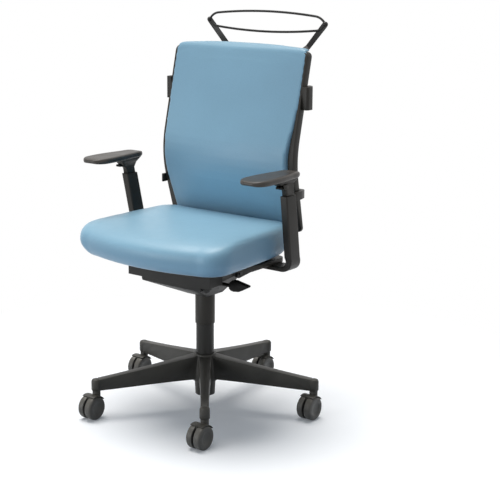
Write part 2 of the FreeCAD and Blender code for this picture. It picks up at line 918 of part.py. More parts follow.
def build_springs():
    """Two torsion springs on the recline shaft, each one unbroken wire with two legs."""
    wire = size("spring_wire")
    mean = size("shaft_radius") + size("soft_gap") + wire / 2
    turns = int(size("spring_turns"))
    pitch = size("spring_pitch")
    first_x = size("spring_start")
    centre = Vector(0, size("recline_y"), size("recline_z"))
    coils = []
    for side in (1, -1):
        def point(quarter):
            turn = math.pi / 2 * quarter
            along = side * (first_x + pitch * quarter / 4)
            return centre + Vector(along, mean * math.cos(turn), mean * math.sin(turn))

        def heading(quarter):
            turn = math.pi / 2 * quarter
            slope = side * pitch / (2 * math.pi)
            return Vector(slope, -mean * math.sin(turn), mean * math.cos(turn)).normalize()

        last = 4 * turns
        edges = [Part.makeLine(point(0) - heading(0) * size("spring_leg"), point(0))]
        for quarter in range(last):
            edges += two_arcs(point(quarter), heading(quarter), point(quarter + 1), heading(quarter + 1))
        edges.append(Part.makeLine(point(last), point(last) + heading(last) * size("spring_leg") / 2))
        path = Part.Wire(edges)
        circle = Part.Circle(path.Edges[0].Vertexes[0].Point, heading(0), wire / 2).toShape()
        coils.append(path.makePipeShell([Part.Wire([circle])], True, False))
    print(f"recline springs: gap between turns {pitch - wire:.2f} mm")
    shaped("recline_springs", Part.makeCompound(coils))


def build_height_lever():
    """Lever over the valve pin; it leaves the housing on the sitter's right."""
    body = new_body("height_lever")
    inner_end = "valve_radius + 4"
    bar = rectangle(
        body,
        "XY_Plane",
        ("-lever_reach + lever_paddle_length - 4", "-lever_width / 2"),
        (inner_end, "lever_width / 2"),
        "lever_floor",
    )
    add_pad(body, bar, "lever_thick")
    half = "lever_paddle_width / 2"
    paddle = outline(
        body,
        "XY_Plane",
        [
            ("-lever_reach", f"-{half} + 8"),
            ("-lever_reach", f"{half} - 8"),
            ("-lever_reach + 9", half),
            ("-lever_reach + lever_paddle_length - 12", half),
            ("-lever_reach + lever_paddle_length", "lever_width / 2"),
            ("-lever_reach + lever_paddle_length", "-lever_width / 2"),
            ("-lever_reach + lever_paddle_length - 12", f"-({half})"),
            ("-lever_reach + 9", f"-({half})"),
        ],
        "lever_floor - 2",
    )
    add_pad(body, paddle, "lever_thick + 2")
    hole = circles(
        body,
        "XZ_Plane",
        [("-lever_pivot_x", "lever_floor + lever_thick / 2")],
        ["lever_pin_radius + run_fit"],
    )
    add_cut(body, hole, "lever_width + 2", True)

    pin = sub_part(doc.addObject("Part::Cylinder", "lever_pin"), "lever_pin")
    bind(pin, "Radius", "lever_pin_radius")
    bind(pin, "Height", "lever_width + 12")
    pin.Placement.Rotation = FreeCAD.Rotation(Vector(1, 0, 0), 90)
    place(pin, "-lever_pivot_x", "lever_width / 2 + 6", "lever_floor + lever_thick / 2")


def build_lock_lever():
    """Tilt lock: a rod through the housing's wall with a tapered handle on the sitter's left."""
    body = new_body("lock_lever")
    inner_end = "mech_rear_half"
    rod = circles(body, "YZ_Plane", [("-lock_y", "lock_z")], ["lock_rod_radius"], inner_end)
    add_pad(body, rod, f"lock_root + 6 - {inner_end}")
    profile = [
        (0, -0.22),
        (0, 0.26),
        (0.16, 0.57),
        (0.3, 0.57),
        (0.97, 0.3),
        (1, 0.2),
        (0.95, 0.1),
        (0.55, -0.35),
        (0.25, -0.43),
        (0.1, -0.38),
    ]
    reach = "(lock_reach - lock_root)"
    corners = [(f"lock_root + {along} * {reach}", f"lock_z + {up} * lock_height") for along, up in profile]
    handle = outline(body, "XZ_Plane", corners, "lock_y - lock_thick / 2")
    add_pad(body, handle, "lock_thick")
    catch = rectangle(
        body,
        "YZ_Plane",
        ("-lock_y - lock_rod_radius", "lock_z - lock_rod_radius - 4"),
        ("-lock_y + lock_rod_radius", "lock_z"),
        inner_end,
    )
    add_pad(body, catch, "8")


# Seat: steel frame on the front pivot, pan, cushion and screws
SEAT_SCREWS = [
    ("screw_front_x", "-screw_front_y"),
    ("-screw_front_x", "-screw_front_y"),
    ("screw_rear_x", "screw_rear_y"),
    ("-screw_rear_x", "screw_rear_y"),
]


def build_seat():
    frame = new_body("seat_frame")
    low = ("-frame_half", "-frame_front")
    plate = rectangle(frame, "XY_Plane", low, ("frame_half", "frame_rear"), "frame_floor")
    add_pad(frame, plate, "frame_plate")
    for sign in (1, -1):
        block = rectangle(
            frame,
            "XY_Plane",
            (f"{sign} * ear_in", "-frame_front"),
            (f"{sign} * frame_half", "-seat_pivot_y + 22"),
            "mech_top",
        )
        add_pad(frame, block, "frame_gap + 1")
        ear = outline(
            frame,
            "YZ_Plane",
            [
                ("-seat_pivot_y - 14", "frame_floor + 1"),
                ("-seat_pivot_y - 12", "seat_pivot_z - 8"),
                ("-seat_pivot_y - 6", "seat_pivot_z - 13"),
                ("-seat_pivot_y + 6", "seat_pivot_z - 13"),
                ("-seat_pivot_y + 12", "seat_pivot_z - 8"),
                ("-seat_pivot_y + 16", "frame_floor + 1"),
            ],
            "ear_in" if sign > 0 else "-ear_out",
        )
        add_pad(frame, ear, "side_plate")
        skirt = rectangle(
            frame,
            "XY_Plane",
            (f"{sign} * ear_in", "-frame_front"),
            (f"{sign} * ear_out", "-skirt_rear"),
            "frame_floor - skirt_side_drop",
        )
        add_pad(frame, skirt, "skirt_side_drop + 1")
    front_low = ("-frame_half", "-frame_front - skirt_wall + 1")
    front_wall = rectangle(
        frame, "XY_Plane", front_low, ("frame_half", "-frame_front + 1"), "frame_floor - skirt_front_drop"
    )
    add_pad(frame, front_wall, "skirt_front_drop + frame_plate")
    pivot = circles(frame, "YZ_Plane", [("-seat_pivot_y", "seat_pivot_z")], ["pin_radius + run_fit"])
    add_cut(frame, pivot, "2 * frame_half + 2", True)
    holes = circles(frame, "XY_Plane", SEAT_SCREWS, ["screw_radius + 0.1"] * 4, "frame_floor - 1")
    add_cut(frame, holes, "frame_plate + 2")

    pan = new_body("seat_pan")
    pan_outline = [
        ("-pan_front_half", "-pan_front"),
        ("pan_front_half", "-pan_front"),
        ("pan_half", "-pan_side_y"),
        ("pan_half", "pan_rear"),
        ("-pan_half", "pan_rear"),
        ("-pan_half", "-pan_side_y"),
    ]
    add_pad(pan, outline(pan, "XY_Plane", pan_outline, "pan_floor"), "pan_thick")
    screw_holes = circles(pan, "XY_Plane", SEAT_SCREWS, ["screw_radius + press_fit"] * 4, "pan_floor")
    add_cut(pan, screw_holes, "pan_thick - 2")
    bolt_places = [(f"{sign} * ({x})", "arm_bar_y") for sign in (1, -1) for x in ARM_BOLTS]
    bolt_holes = circles(pan, "XY_Plane", bolt_places, ["screw_radius + press_fit"] * 4, "pan_floor")
    add_cut(pan, bolt_holes, "pan_thick - 2")
    add_round(pan, "pan_corner", lambda edge: is_along(edge, Vector(0, 0, 1)) and on_outline(edge))

    screws = [make_screw(x, y, "frame_floor", "frame_plate + pan_thick - 3") for x, y in SEAT_SCREWS]
    group("seat_screws", screws)
    bolt_reach = "arm_bar_thick + pan_thick - 3"
    bolts = [make_screw(x, y, "pan_floor - arm_bar_thick", bolt_reach) for x, y in bolt_places]
    group("arm_bolts", bolts)


ARM_BOLTS = ("arm_bar_start + arm_bolt_start", "arm_bar_start + arm_bolt_start + arm_bolt_step")


def on_outline(edge):
    """True for the full height edges at the pan's corners."""
    return edge.Length > size("pan_thick") - 0.1


def make_screw(x, y, seat, reach):
    """Upright screw with its head below the given seat."""
    screw = doc.addObject("PartDesign::Body", "screw")
    profile = [
        ("0", "-screw_head_height"),
        ("screw_head_radius - 1", "-screw_head_height"),
        ("screw_head_radius", "-screw_head_height + 1.5"),
        ("screw_head_radius", "0"),
        ("screw_radius", "0"),
        ("screw_radius", reach),
        ("0", reach),
    ]
    add_turned(screw, outline(screw, "XZ_Plane", profile))
    place(screw, x, y, seat)
    return screw


def seat_section(inset, height, tilt, draw_back):
    """Plan outline of the seat, drawn in from its widest line, more so in front, and tipped about the X axis."""
    half = size("seat_half")
    middle_y = (size("seat_rear") - size("seat_front")) / 2
    half_depth = (size("seat_rear") + size("seat_front")) / 2
    grow_x = (half - inset) / half
    grow_rear = (half_depth - inset) / half_depth
    grow_front = (half_depth - inset - draw_back) / half_depth

    def at(x, y):
        grow_y = grow_front if y < middle_y else grow_rear
        return Vector(x * grow_x, middle_y + (y - middle_y) * grow_y, height)

    bow_y = -(size("seat_front") - size("seat_bow"))
    bow_x = size("seat_bow_half")
    corner_y = -size("seat_corner_y")
    waist = (size("seat_waist_half"), -size("seat_waist_y"))
    rear = size("seat_rear")
    rear_half = size("seat_rear_half")
    rear_round = size("seat_rear_round")
    bend = rear_round * (1 - math.sqrt(0.5))
    corner = (bow_x + (half - bow_x) * 0.76, bow_y + (corner_y - bow_y) * 0.35)
    side_end = rear - rear_round

    def arc(*points):
        return Part.Arc(*[at(x, y) for x, y in points]).toShape()

    front = arc((-bow_x, bow_y), (0, -size("seat_front")), (bow_x, bow_y))
    left = arc((bow_x, bow_y), corner, (half, corner_y))
    left_side = arc((half, corner_y), waist, (rear_half, side_end))
    left_rear = arc((rear_half, side_end), (rear_half - bend, rear - bend), (rear_half - rear_round, rear))
    back = Part.makeLine(at(rear_half - rear_round, rear), at(-rear_half + rear_round, rear))
    rear_bend = (-rear_half + bend, rear - bend)
    right_rear = arc((-rear_half + rear_round, rear), rear_bend, (-rear_half, side_end))
    right_side = arc((-rear_half, side_end), (-waist[0], waist[1]), (-half, corner_y))
    right = arc((-half, corner_y), (-corner[0], corner[1]), (-bow_x, bow_y))
    wire = Part.Wire([front, left, left_side, left_rear, back, right_rear, right_side, right])
    wire.rotate(Vector(0, 0, height), Vector(1, 0, 0), tilt)
    return wire


def build_seat_cushion():
    """Crowned cushion: drawn in at its foot, fullest at mid height, rolled over at the top."""
    low = size("seat_floor")
    thick = size("seat_thick")
    tilt = size("seat_crown_tilt")
    rows = [
        (66, 0, 0, 0),
        (46, 0.03, 0, 0),
        (33, 0.07, 0, 0),
        (23, 0.12, 0, 0),
        (15, 0.18, 0.05, 0),
        (9, 0.25, 0.1, 0),
        (4.5, 0.33, 0.2, 0),
        (1.5, 0.42, 0.35, 0),
        (0, 0.52, 0.5, 0),
        (0.2, 0.62, 0.62, 0.3),
        (0.8, 0.71, 0.75, 1.5),
        (2.2, 0.79, 0.85, 4),
        (4.2, 0.86, 0.93, 9),
        (7, 0.915, 0.98, 16),
        (10.5, 0.953, 1, 25),
        (15.5, 0.976, 1, 36),
        (24, 0.989, 1, 49),
        (42, 0.996, 1, 62),
        (80, 1, 1, 72),
    ]
    wires = [seat_section(inset, low + thick * share, tilt * lean, back) for inset, share, lean, back in rows]
    shaped("seat_cushion", loft_solid(wires, True))


# Arms: bracket under the seat, sliding post, pad and trigger
def arm_axis(z):
    """Middle of the leaning sleeve at a height."""
    below = size("sleeve_top_z") - z
    forward = math.tan(math.radians(size("arm_lean_forward")))
    outward = math.tan(math.radians(size("arm_lean_out")))
    top_x = size("arm_x") + outward * size("arm_sleeve_rise")
    return Vector(top_x - outward * below, forward * below, z)


def level_section(z, thick, depth, corner):
    return rounded_section(arm_axis(z), Vector(1, 0, 0), Vector(0, 1, 0), thick, depth, corner)


def build_arms():
    build_arm_bracket()
    build_arm_post()
    build_arm_pad()
    build_arm_trigger()


def build_arm_bracket():
    width = size("arm_bar_width")
    thick = size("arm_bar_thick")
    depth = size("arm_sleeve_depth")
    sleeve = size("arm_sleeve_thick")
    bar_y = size("arm_bar_y")
    top = size("pan_floor")
    middle = top - thick / 2
    corner = 4
    start_z = top + size("arm_sleeve_start")
    foot = arm_axis(start_z)
    bend = foot.x - (size("arm_bar_start") + (foot.x - size("arm_bar_start")) * 0.72)
    rise = start_z - middle
    bend_x = foot.x - bend

    def bend_section(share):
        turn = math.pi / 2 * share
        x = bend_x + bend * math.sin(turn)
        z = middle + rise * (1 - math.cos(turn))
        y = bar_y + (foot.y - bar_y) * share * share
        across = Vector(math.sin(turn), 0, -math.cos(turn))
        wall = thick + (sleeve - thick) * share
        span = width + (depth - width) * share
        return rounded_section(Vector(x, y, z), across, Vector(0, 1, 0), wall, span, corner)

    bar_end = Vector(size("arm_bar_start"), bar_y, middle)
    start = rounded_section(bar_end, Vector(0, 0, -1), Vector(0, 1, 0), thick, width, corner)
    bar = loft_solid([start, bend_section(0)], True)
    elbow = loft_solid([bend_section(share) for share in (0, 0.25, 0.5, 0.75, 1)])
    top_z = size("sleeve_top_z")
    tube_ends = [level_section(z, sleeve, depth, corner) for z in (start_z, top_z)]
    tube = loft_solid(tube_ends, True)
    bracket = bar.fuse([elbow, tube])
    fit = 2 * size("arm_post_fit")
    bore_thick = size("arm_post_thick") + fit
    bore_depth = size("arm_post_depth") + fit
    bore_low = top_z - size("arm_bore_depth")
    bore_ends = [level_section(z, bore_thick, bore_depth, 3) for z in (bore_low, top_z + 1)]
    bracket = bracket.cut(loft_solid(bore_ends, True))
    first_bolt = size("arm_bar_start") + size("arm_bolt_start")
    for bolt_x in (first_bolt, first_bolt + size("arm_bolt_step")):
        at = Vector(bolt_x, bar_y, top - thick - 1)
        bracket = bracket.cut(Part.makeCylinder(size("screw_radius") + 0.1, thick + 2, at))
    left = shaped("arm_bracket_left", bracket.removeSplitter())
    mirrored("arm_bracket_right", left)


def trigger_pivot():
    """Pin of the trigger, in front of the post and under its head."""
    z = size("head_floor") - size("trigger_play") - size("trigger_thick") / 2
    front = arm_axis(z).y - size("arm_post_depth") / 2
    return Vector(arm_axis(z).x, front - 7, z)


def build_arm_post():
    low = size("sleeve_top_z") - size("arm_post_inside")
    head_low = size("head_floor")
    head_top = size("head_top")
    thick = size("arm_post_thick")
    depth = size("arm_post_depth")
    stem = loft_solid([level_section(z, thick, depth, 2.9) for z in (low, head_low + 2)], True)
    head_x = size("pad_x")
    rear = size("arm_head_rear")
    front = -size("arm_head_front")
    taper = size("arm_head_taper")
    centre = Vector(head_x, (front + rear) / 2, head_low)
    half = size("arm_head_half")

    def plate(z, grow):
        at = Vector(centre.x, centre.y, z)
        long = rear - front + 2 * grow
        return rounded_section(at, Vector(1, 0, 0), Vector(0, 1, 0), 2 * (half + grow), long, 10)

    head = loft_solid([plate(head_low, -taper), plate(head_top, 0)], True)
    flare_low = level_section(head_low - 16, thick, depth, 2.9)
    flare = loft_solid([flare_low, plate(head_low + 1, -taper)], True)
    pivot = trigger_pivot()
    inner = size("trigger_half") + size("run_fit")
    wall = size("cheek_wall")
    cheek_low = pivot.z - size("trigger_thick") / 2 - 1
    cheek_depth = 11
    pieces = [stem, head, flare]
    for sign in (1, -1):
        x = pivot.x + (inner if sign > 0 else -inner - wall)
        corner = Vector(x, pivot.y - cheek_depth / 2, cheek_low)
        pieces.append(Part.makeBox(wall, cheek_depth + 7, head_low + 1 - cheek_low, corner))
    post = pieces[0].fuse(pieces[1:])
    room = Part.makeBox(
        2 * inner,
        size("trigger_length") + cheek_depth,
        head_low - cheek_low,
        Vector(pivot.x - inner, pivot.y - size("trigger_length") - 1, cheek_low - 0.2),
    )
    post = post.cut(room)
    hole = size("trigger_pin_radius") + size("run_fit")
    pin_start = Vector(pivot.x - inner - wall - 1, pivot.y, pivot.z)
    post = post.cut(Part.makeCylinder(hole, 2 * (inner + wall + 1), pin_start, Vector(1, 0, 0)))
    left = shaped("arm_post_left", post.removeSplitter())
    mirrored("arm_post_right", left)


def build_arm_pad():
    """Padded armrest with a rounded nose that droops at the front."""
    front = -size("pad_front")
    rear = size("pad_rear")
    low = size("pad_floor")
    thick = size("pad_thick")
    width = size("pad_width")
    length = rear - front
    rows = [
        (0, 0.3, 0.4, 0.46),
        (0.015, 0.48, 0.62, 0.46),
        (0.05, 0.72, 0.82, 0.47),
        (0.12, 0.93, 0.93, 0.48),
        (0.25, 1, 0.98, 0.49),
        (0.45, 0.97, 1, 0.5),
        (0.65, 0.86, 1, 0.5),
        (0.82, 0.74, 1, 0.5),
        (0.95, 0.64, 0.96, 0.5),
        (1, 0.52, 0.78, 0.5),
    ]
    wires = []
    for along, wide, tall, middle in rows:
        height = thick * tall
        at = Vector(size("pad_x"), front + length * along, low + thick * middle)
        corner = height * 0.42
        wires.append(rounded_section(at, Vector(1, 0, 0), Vector(0, 0, 1), width * wide, height, corner))
    left = shaped("arm_pad_left", loft_solid(wires))
    mirrored("arm_pad_right", left)


def build_arm_trigger():
    pivot = trigger_pivot()
    half = size("trigger_half")
    thick = size("trigger_thick")
    length = size("trigger_length")
    rear = 3
    corner = Vector(pivot.x - half, pivot.y - length, pivot.z - thick / 2)
    blade = Part.makeBox(2 * half, length + rear, thick, corner)
    level = [edge for edge in blade.Edges if is_along(edge, Vector(1, 0, 0))]
    blade = blade.makeFillet(2, [edge for edge in level if edge.BoundBox.YMax < pivot.y])
    reach = half + size("cheek_wall")
    pin = Part.makeCylinder(
        size("trigger_pin_radius"), 2 * reach, Vector(pivot.x - reach, pivot.y, pivot.z), Vector(1, 0, 0)
    )
    left = shaped("arm_trigger_left", blade.fuse(pin).removeSplitter())
    mirrored("arm_trigger_right", left)


# Back: bar from the recline shaft, frame with lugs, shell, cushion and coat hanger
def back_line():
    """Side profile of the back: two straight stretches joined by the lumbar arc."""
    radius = size("lumbar_radius")
    upper = math.radians(size("upper_lean"))
    lower = math.radians(size("lower_lean"))
    y = size("lumbar_y")
    z = size("lumbar_z")
    up_z = z + radius * math.sin(upper)
    up_y = y + radius * (1 - math.cos(upper))
    low_z = z - radius * math.sin(lower)
    low_y = y + radius * (1 - math.cos(lower))
    return (up_y, up_z, upper), (low_y, low_z, lower)


def back_y(z):
    """How far behind the column the back's front edge stands at a height."""
    (up_y, up_z, upper), (low_y, low_z, lower) = back_line()
    if z >= up_z:
        return up_y + (z - up_z) * math.tan(upper)
    if z <= low_z:
        return low_y + (low_z - z) * math.tan(lower)
    radius = size("lumbar_radius")
    return size("lumbar_y") + radius - math.sqrt(radius ** 2 - (z - size("lumbar_z")) ** 2)


def back_half(z):
    """Half width of the back shell at a height."""
    share = (z - size("back_floor")) / (size("back_top") - size("back_floor"))
    return size("back_low_half") + share * (size("back_top_half") - size("back_low_half"))


def back_slab(front, rear):
    """Wide slab that follows the back's profile between two distances behind it."""
    low = size("back_floor") - 30
    top = size("back_top") + 30
    (up_y, up_z, upper), (low_y, low_z, lower) = back_line()

    def line_at(z, shift):
        return Vector(0, back_y(z) + shift, z)

    def side(shift):
        return [
            Part.makeLine(line_at(low, shift), line_at(low_z, shift)),
            Part.Arc(*[line_at(z, shift) for z in (low_z, size("lumbar_z"), up_z)]).toShape(),
            Part.makeLine(line_at(up_z, shift), line_at(top, shift)),
        ]

    ends = [
        Part.makeLine(line_at(top, front), line_at(top, rear)),
        Part.makeLine(line_at(low, rear), line_at(low, front)),
    ]
    band = Part.Face(Part.Wire(Part.__sortEdges__(side(front) + side(rear) + ends)))
    half = size("back_top_half") + size("back_corner")
    slab = band.extrude(Vector(2 * half, 0, 0))
    slab.translate(Vector(-half, 0, 0))
    return slab


def near_lumbar(z):
    """1 at the lumbar, fading smoothly to 0 above and below it."""
    above = z - size("lumbar_z")
    reach = size("lumbar_reach_up") if above > 0 else size("lumbar_reach_down")
    return math.exp(-((above / reach) ** 2))


def rim_at(z):
    """Width of shell left bare beside the cushion: narrow at the top, wide from the lumbar down."""
    fade = near_lumbar(z) if z > size("lumbar_z") else 1
    return size("rim_top") + (size("rim_low") - size("rim_top")) * fade


def edge_at(z):
    """How far the cushion's side edge stands in front of the shell, most at the lumbar."""
    thin = size("back_edge_thin")
    return thin + (size("back_edge") - thin) * near_lumbar(z)


def build_back_shell():
    low = size("back_floor")
    top = size("back_top") - size("top_wrap")
    thick = size("shell_thick")
    slab = back_slab(0, thick)
    corner = size("back_corner")
    tall = size("back_top_half")
    short = size("back_low_half")
    corners = [(-short, low), (short, low), (tall, top), (-tall, top), (-short, low)]
    plate = Part.makePolygon([Vector(x, 0, z) for x, z in corners])
    prism = Part.Face(plate).extrude(Vector(0, 2 * size("bar_rear"), 0))
    prism = prism.makeFillet(corner, [edge for edge in prism.Edges if is_along(edge, Vector(0, 1, 0))])
    taper_z = low + size("shell_taper")
    far = 2 * size("bar_rear")
    behind = [
        Vector(-2 * tall, back_y(taper_z) + thick, taper_z),
        Vector(-2 * tall, back_y(low) + size("shell_foot"), low),
        Vector(-2 * tall, back_y(low) + size("shell_foot"), low - thick),
        Vector(-2 * tall, far, low - thick),
        Vector(-2 * tall, far, taper_z),
    ]
    taper = Part.Face(Part.makePolygon(behind + behind[:1])).extrude(Vector(4 * tall, 0, 0))
    shell = slab.common(prism).cut(taper).removeSplitter()
    shaped("back_shell", shell)


def back_section(z, inset, edge, crown):
    """Level section of the back cushion: flat behind, bowed in front."""
    half = back_half(z) - rim_at(z) - inset
    line = back_y(z)
    rear = line + size("shell_thick") * 0.7
    front = line - edge
    left_rear = Vector(half, rear, z)
    right_rear = Vector(-half, rear, z)
    left = Vector(half, front, z)
    right = Vector(-half, front, z)
    bow = Part.Arc(left, Vector(0, front - crown, z), right).toShape()
    behind = Part.makeLine(right_rear, left_rear)
    return Part.Wire([behind, Part.makeLine(left_rear, left), bow, Part.makeLine(right, right_rear)])


def build_back_cushion():
    """Pad in front of the shell, turned over the shell's top edge and fullest at mid height."""
    low = size("back_floor")
    top = size("back_top")
    tall = top - low
    crown = size("back_crown")
    foot = [
        (0, 11, 9.2, 0),
        (0.8, 7, 6.2, 0.01),
        (2.5, 4, 4.2, 0.03),
        (6, 1.5, 1.8, 0.05),
        (12, 0.5, 0.6, 0.07),
    ]
    half = size("back_top_half")
    head = [
        (-3.5, 0, 0, 0.45),
        (-2.5, 0.001, 0.1, 0.41),
        (-1.5, 0.002, 0.3, 0.34),
        (-0.75, 0.007, 1, 0.3),
        (-0.25, 0.02, 2.5, 0.26),
        (0.12, 0.07, 4.5, 0.2),
        (0.45, 0.24, 6, 0.14),
        (0.75, 0.44, 7, 0.1),
        (0.92, 0.62, 8, 0.06),
        (1, 0.78, 9, 0.03),
    ]
    rows = [(low + up, inset, back, bow) for up, inset, back, bow in foot]
    steps = 21
    for step in range(steps):
        share = 0.045 + 0.88 * step / (steps - 1)
        lead_in = min(share / 0.3, 1)
        fullness = math.sin(math.pi * (0.12 + 0.76 * share)) * lead_in ** 2 * (3 - 2 * lead_in)
        rows.append((low + tall * share, 0, 0, fullness))
    rise = size("top_bow")
    rows += [(top + up * rise, half * share, back, bow) for up, share, back, bow in head]
    wires = [back_section(z, inset, edge_at(z) - back, crown * bow + 0.4) for z, inset, back, bow in rows]
    gap = size("soft_gap")
    cutter = back_slab(-gap, 3 * size("shell_thick"))
    wide = size("back_top_half") + size("back_corner")
    shell_top = top - size("top_wrap") + gap
    below = Part.makeBox(2 * wide, 2 * size("bar_rear"), tall, Vector(-wide, 0, shell_top - tall))
    below_end = Part.makeBox(2 * wide, 2 * size("bar_rear"), tall, Vector(-wide, 0, low - tall / 2))
    cutter = cutter.common(below.fuse(below_end))
    shaped("back_cushion", loft_solid(wires, True).cut(cutter))


def build_back_bar():
    body = new_body("back_bar")
    rear = "bar_rear"
    low = "(recline_z - bar_drop)"
    plate = [
        ("recline_y - 15", "recline_z - 10"),
        ("recline_y - 9", "recline_z + 11"),
        ("recline_y + 14", "recline_z + 11"),
        ("mech_rear + 24", f"{low} + 30"),
        (rear, f"{low} + 30"),
        (rear, low),
        ("mech_rear", low),
        ("recline_y - 6", "recline_z - 14"),
    ]
    for start in ("link_in", "-link_out"):
        add_pad(body, outline(body, "YZ_Plane", plate, start), "side_plate")
    beam = rectangle(body, "YZ_Plane", ("mech_rear + 24", low), (rear, f"{low} + 30"))
    add_pad(body, beam, "2 * link_out", True)
    upright = outline(
        body,
        "YZ_Plane",
        [
            (f"{rear} - 30", f"{low} + 20"),
            (rear, f"{low} + 20"),
            (rear, f"{low} + 60"),
            ("bar_rear - 4", "back_floor - 20"),
            ("bar_rear - 4", "seat_floor + bar_rise"),
            ("bar_rear - 4 - bar_upright", "seat_floor + bar_rise"),
            ("bar_rear - 4 - bar_upright", "back_floor"),
        ],
    )
    add_pad(body, upright, "2 * bar_half", True)
    pivot = circles(body, "YZ_Plane", [("recline_y", "recline_z")], ["shaft_radius + run_fit"])
    add_cut(body, pivot, "2 * link_out + 2", True)
    holes = circles(body, "XZ_Plane", BAR_BOLTS, ["bolt_radius + press_fit"] * 2, "-bar_rear")
    add_cut(body, holes, "bar_upright")


BAR_BOLTS = [("0", "back_floor + 10"), ("0", "seat_floor + bar_rise - 12")]
HANGER_BOLTS = [("hanger_foot_x", "high_bar_z"), ("-hanger_foot_x", "high_bar_z")]


def build_back_frame():
    body = new_body("back_frame")
    front = "bar_rear - 4 + soft_gap"
    back = f"{front} + spine_thick"
    spine = [
        (front, "back_floor - 8"),
        (front, "seat_floor + bar_rise + 4"),
        ("low_bar_rear - 4", "low_bar_z - low_bar_height / 2"),
        ("low_bar_rear - 4", "low_bar_z + low_bar_height"),
        ("high_bar_rear - cross_bar_thick", "high_bar_z - high_bar_height / 2"),
        ("high_bar_rear - cross_bar_thick", "high_bar_z + high_bar_height / 2"),
        ("high_bar_rear", "high_bar_z + high_bar_height / 2"),
        ("high_bar_rear", "high_bar_z - high_bar_height"),
        ("low_bar_rear + spine_thick", "low_bar_z + low_bar_height"),
        (back, "seat_floor + bar_rise - 10"),
        (back, "back_floor - 8"),
    ]
    add_pad(body, outline(body, "YZ_Plane", spine), "2 * spine_half", True)
    for level in ("low", "high"):
        middle = f"{level}_bar_z"
        half_height = f"{level}_bar_height / 2"
        rear = f"{level}_bar_rear"
        edge = LUG_EDGE[level]
        wall = f"{level}_lug_wall"
        front_y = f"{level}_lug_front"
        low_corner = (f"{rear} - cross_bar_thick", f"{middle} - {half_height}")
        bar = rectangle(body, "YZ_Plane", low_corner, (rear, f"{middle} + {half_height}"))
        add_pad(body, bar, f"2 * ({edge} - 4)", True)
        for sign in (1, -1):
            corners = [
                ("0", front_y),
                (f"{wall} - 4", front_y),
                (wall, f"{front_y} + 5"),
                (wall, f"({front_y} + {rear}) / 2"),
                (f"{wall} * 0.3", f"{rear} - 6"),
                ("-5", rear),
                ("-9", rear),
                ("-9", f"{rear} - cross_bar_thick + 1"),
                ("0", f"{rear} - cross_bar_thick + 1"),
            ]
            placed = [(f"{sign} * ({edge} + {out})", y) for out, y in corners]
            height = f"{level}_lug_height"
            lug = outline(body, "XY_Plane", placed, f"{middle} - {height} / 2")
            add_pad(body, lug, height)
    holes = circles(body, "XZ_Plane", BAR_BOLTS, ["bolt_radius + 0.1"] * 2, f"-({back} + 1)")
    add_cut(body, holes, "spine_thick + 2")
    pegs = circles(body, "XZ_Plane", HANGER_BOLTS, ["bolt_radius + press_fit"] * 2, "-(high_bar_rear + 1)")
    add_cut(body, pegs, "cross_bar_thick - 4")


def lug_edge(level):
    """Half width of the shell at the top of a pair of lugs, with a small gap."""
    top = f"({level}_bar_rise + {level}_lug_height / 2 - back_low) / (back_rise - back_low)"
    return f"(back_low_half + (back_top_half - back_low_half) * {top} + soft_gap)"


LUG_EDGE = {level: lug_edge(level) for level in ("low", "high")}


def make_bolt(x, z, seat, reach):
    """Bolt along Y with its head behind the given seat."""
    bolt = doc.addObject("PartDesign::Body", "bolt")
    profile = [
        ("0", "-5"),
        ("bolt_head_radius - 1", "-5"),
        ("bolt_head_radius", "-3.5"),
        ("bolt_head_radius", "0"),
        ("bolt_radius", "0"),
        ("bolt_radius", reach),
        ("0", reach),
    ]
    add_turned(bolt, outline(bolt, "XZ_Plane", profile))
    bolt.Placement.Rotation = FreeCAD.Rotation(Vector(1, 0, 0), 90)
    place(bolt, x, seat, z)
    return bolt


def build_back_bolts():
    spine_back = "bar_rear - 4 + soft_gap + spine_thick"
    foot_back = "high_bar_rear + hanger_bar_thick"
    members = [make_bolt(x, z, spine_back, "spine_thick + bar_upright - 4") for x, z in BAR_BOLTS]
    foot_reach = "hanger_bar_thick + cross_bar_thick - 8"
    members += [make_bolt(x, z, foot_back, foot_reach) for x, z in HANGER_BOLTS]
    group("back_bolts", members)


def bar_section(centre, across, heading):
    """Flat bar cut square to the way it runs."""
    thin = heading.cross(across).normalize()
    half_w = size("hanger_bar_width") / 2
    half_t = size("hanger_bar_thick") / 2
    corners = [(1, 1), (-1, 1), (-1, -1), (1, -1), (1, 1)]
    return Part.makePolygon([centre + across * a * half_w + thin * b * half_t for a, b in corners])


def hanger_bow(rise):
    """Three joined arcs from end to end: tightly turned at the ends, nearly straight between."""
    half = size("hanger_half")
    steep = math.radians(size("hanger_end_turn"))
    flat = math.radians(size("hanger_mid_turn"))
    run = math.sin(steep) - math.sin(flat)
    climb = math.cos(flat) - math.cos(steep)
    tall = abs(rise)
    wide_radius = (half * climb - tall * run) / (math.sin(flat) * climb - (1 - math.cos(flat)) * run)
    end_radius = (half - wide_radius * math.sin(flat)) / run
    up = math.copysign(1, rise)

    def at(x, height):
        return Vector(x, size("hanger_y"), size("hanger_z") + up * height)

    def on_end(angle):
        x = half - end_radius * (math.sin(steep) - math.sin(angle))
        return x, end_radius * (math.cos(angle) - math.cos(steep))

    middle_x, middle_rise = on_end((steep + flat) / 2)
    join_x, join_rise = on_end(flat)
    first = Part.Arc(at(half, 0), at(middle_x, middle_rise), at(join_x, join_rise))
    long = Part.Arc(at(join_x, join_rise), at(0, tall), at(-join_x, join_rise))
    last = Part.Arc(at(-join_x, join_rise), at(-middle_x, middle_rise), at(-half, 0))
    return Part.Wire([arc.toShape() for arc in (first, long, last)])


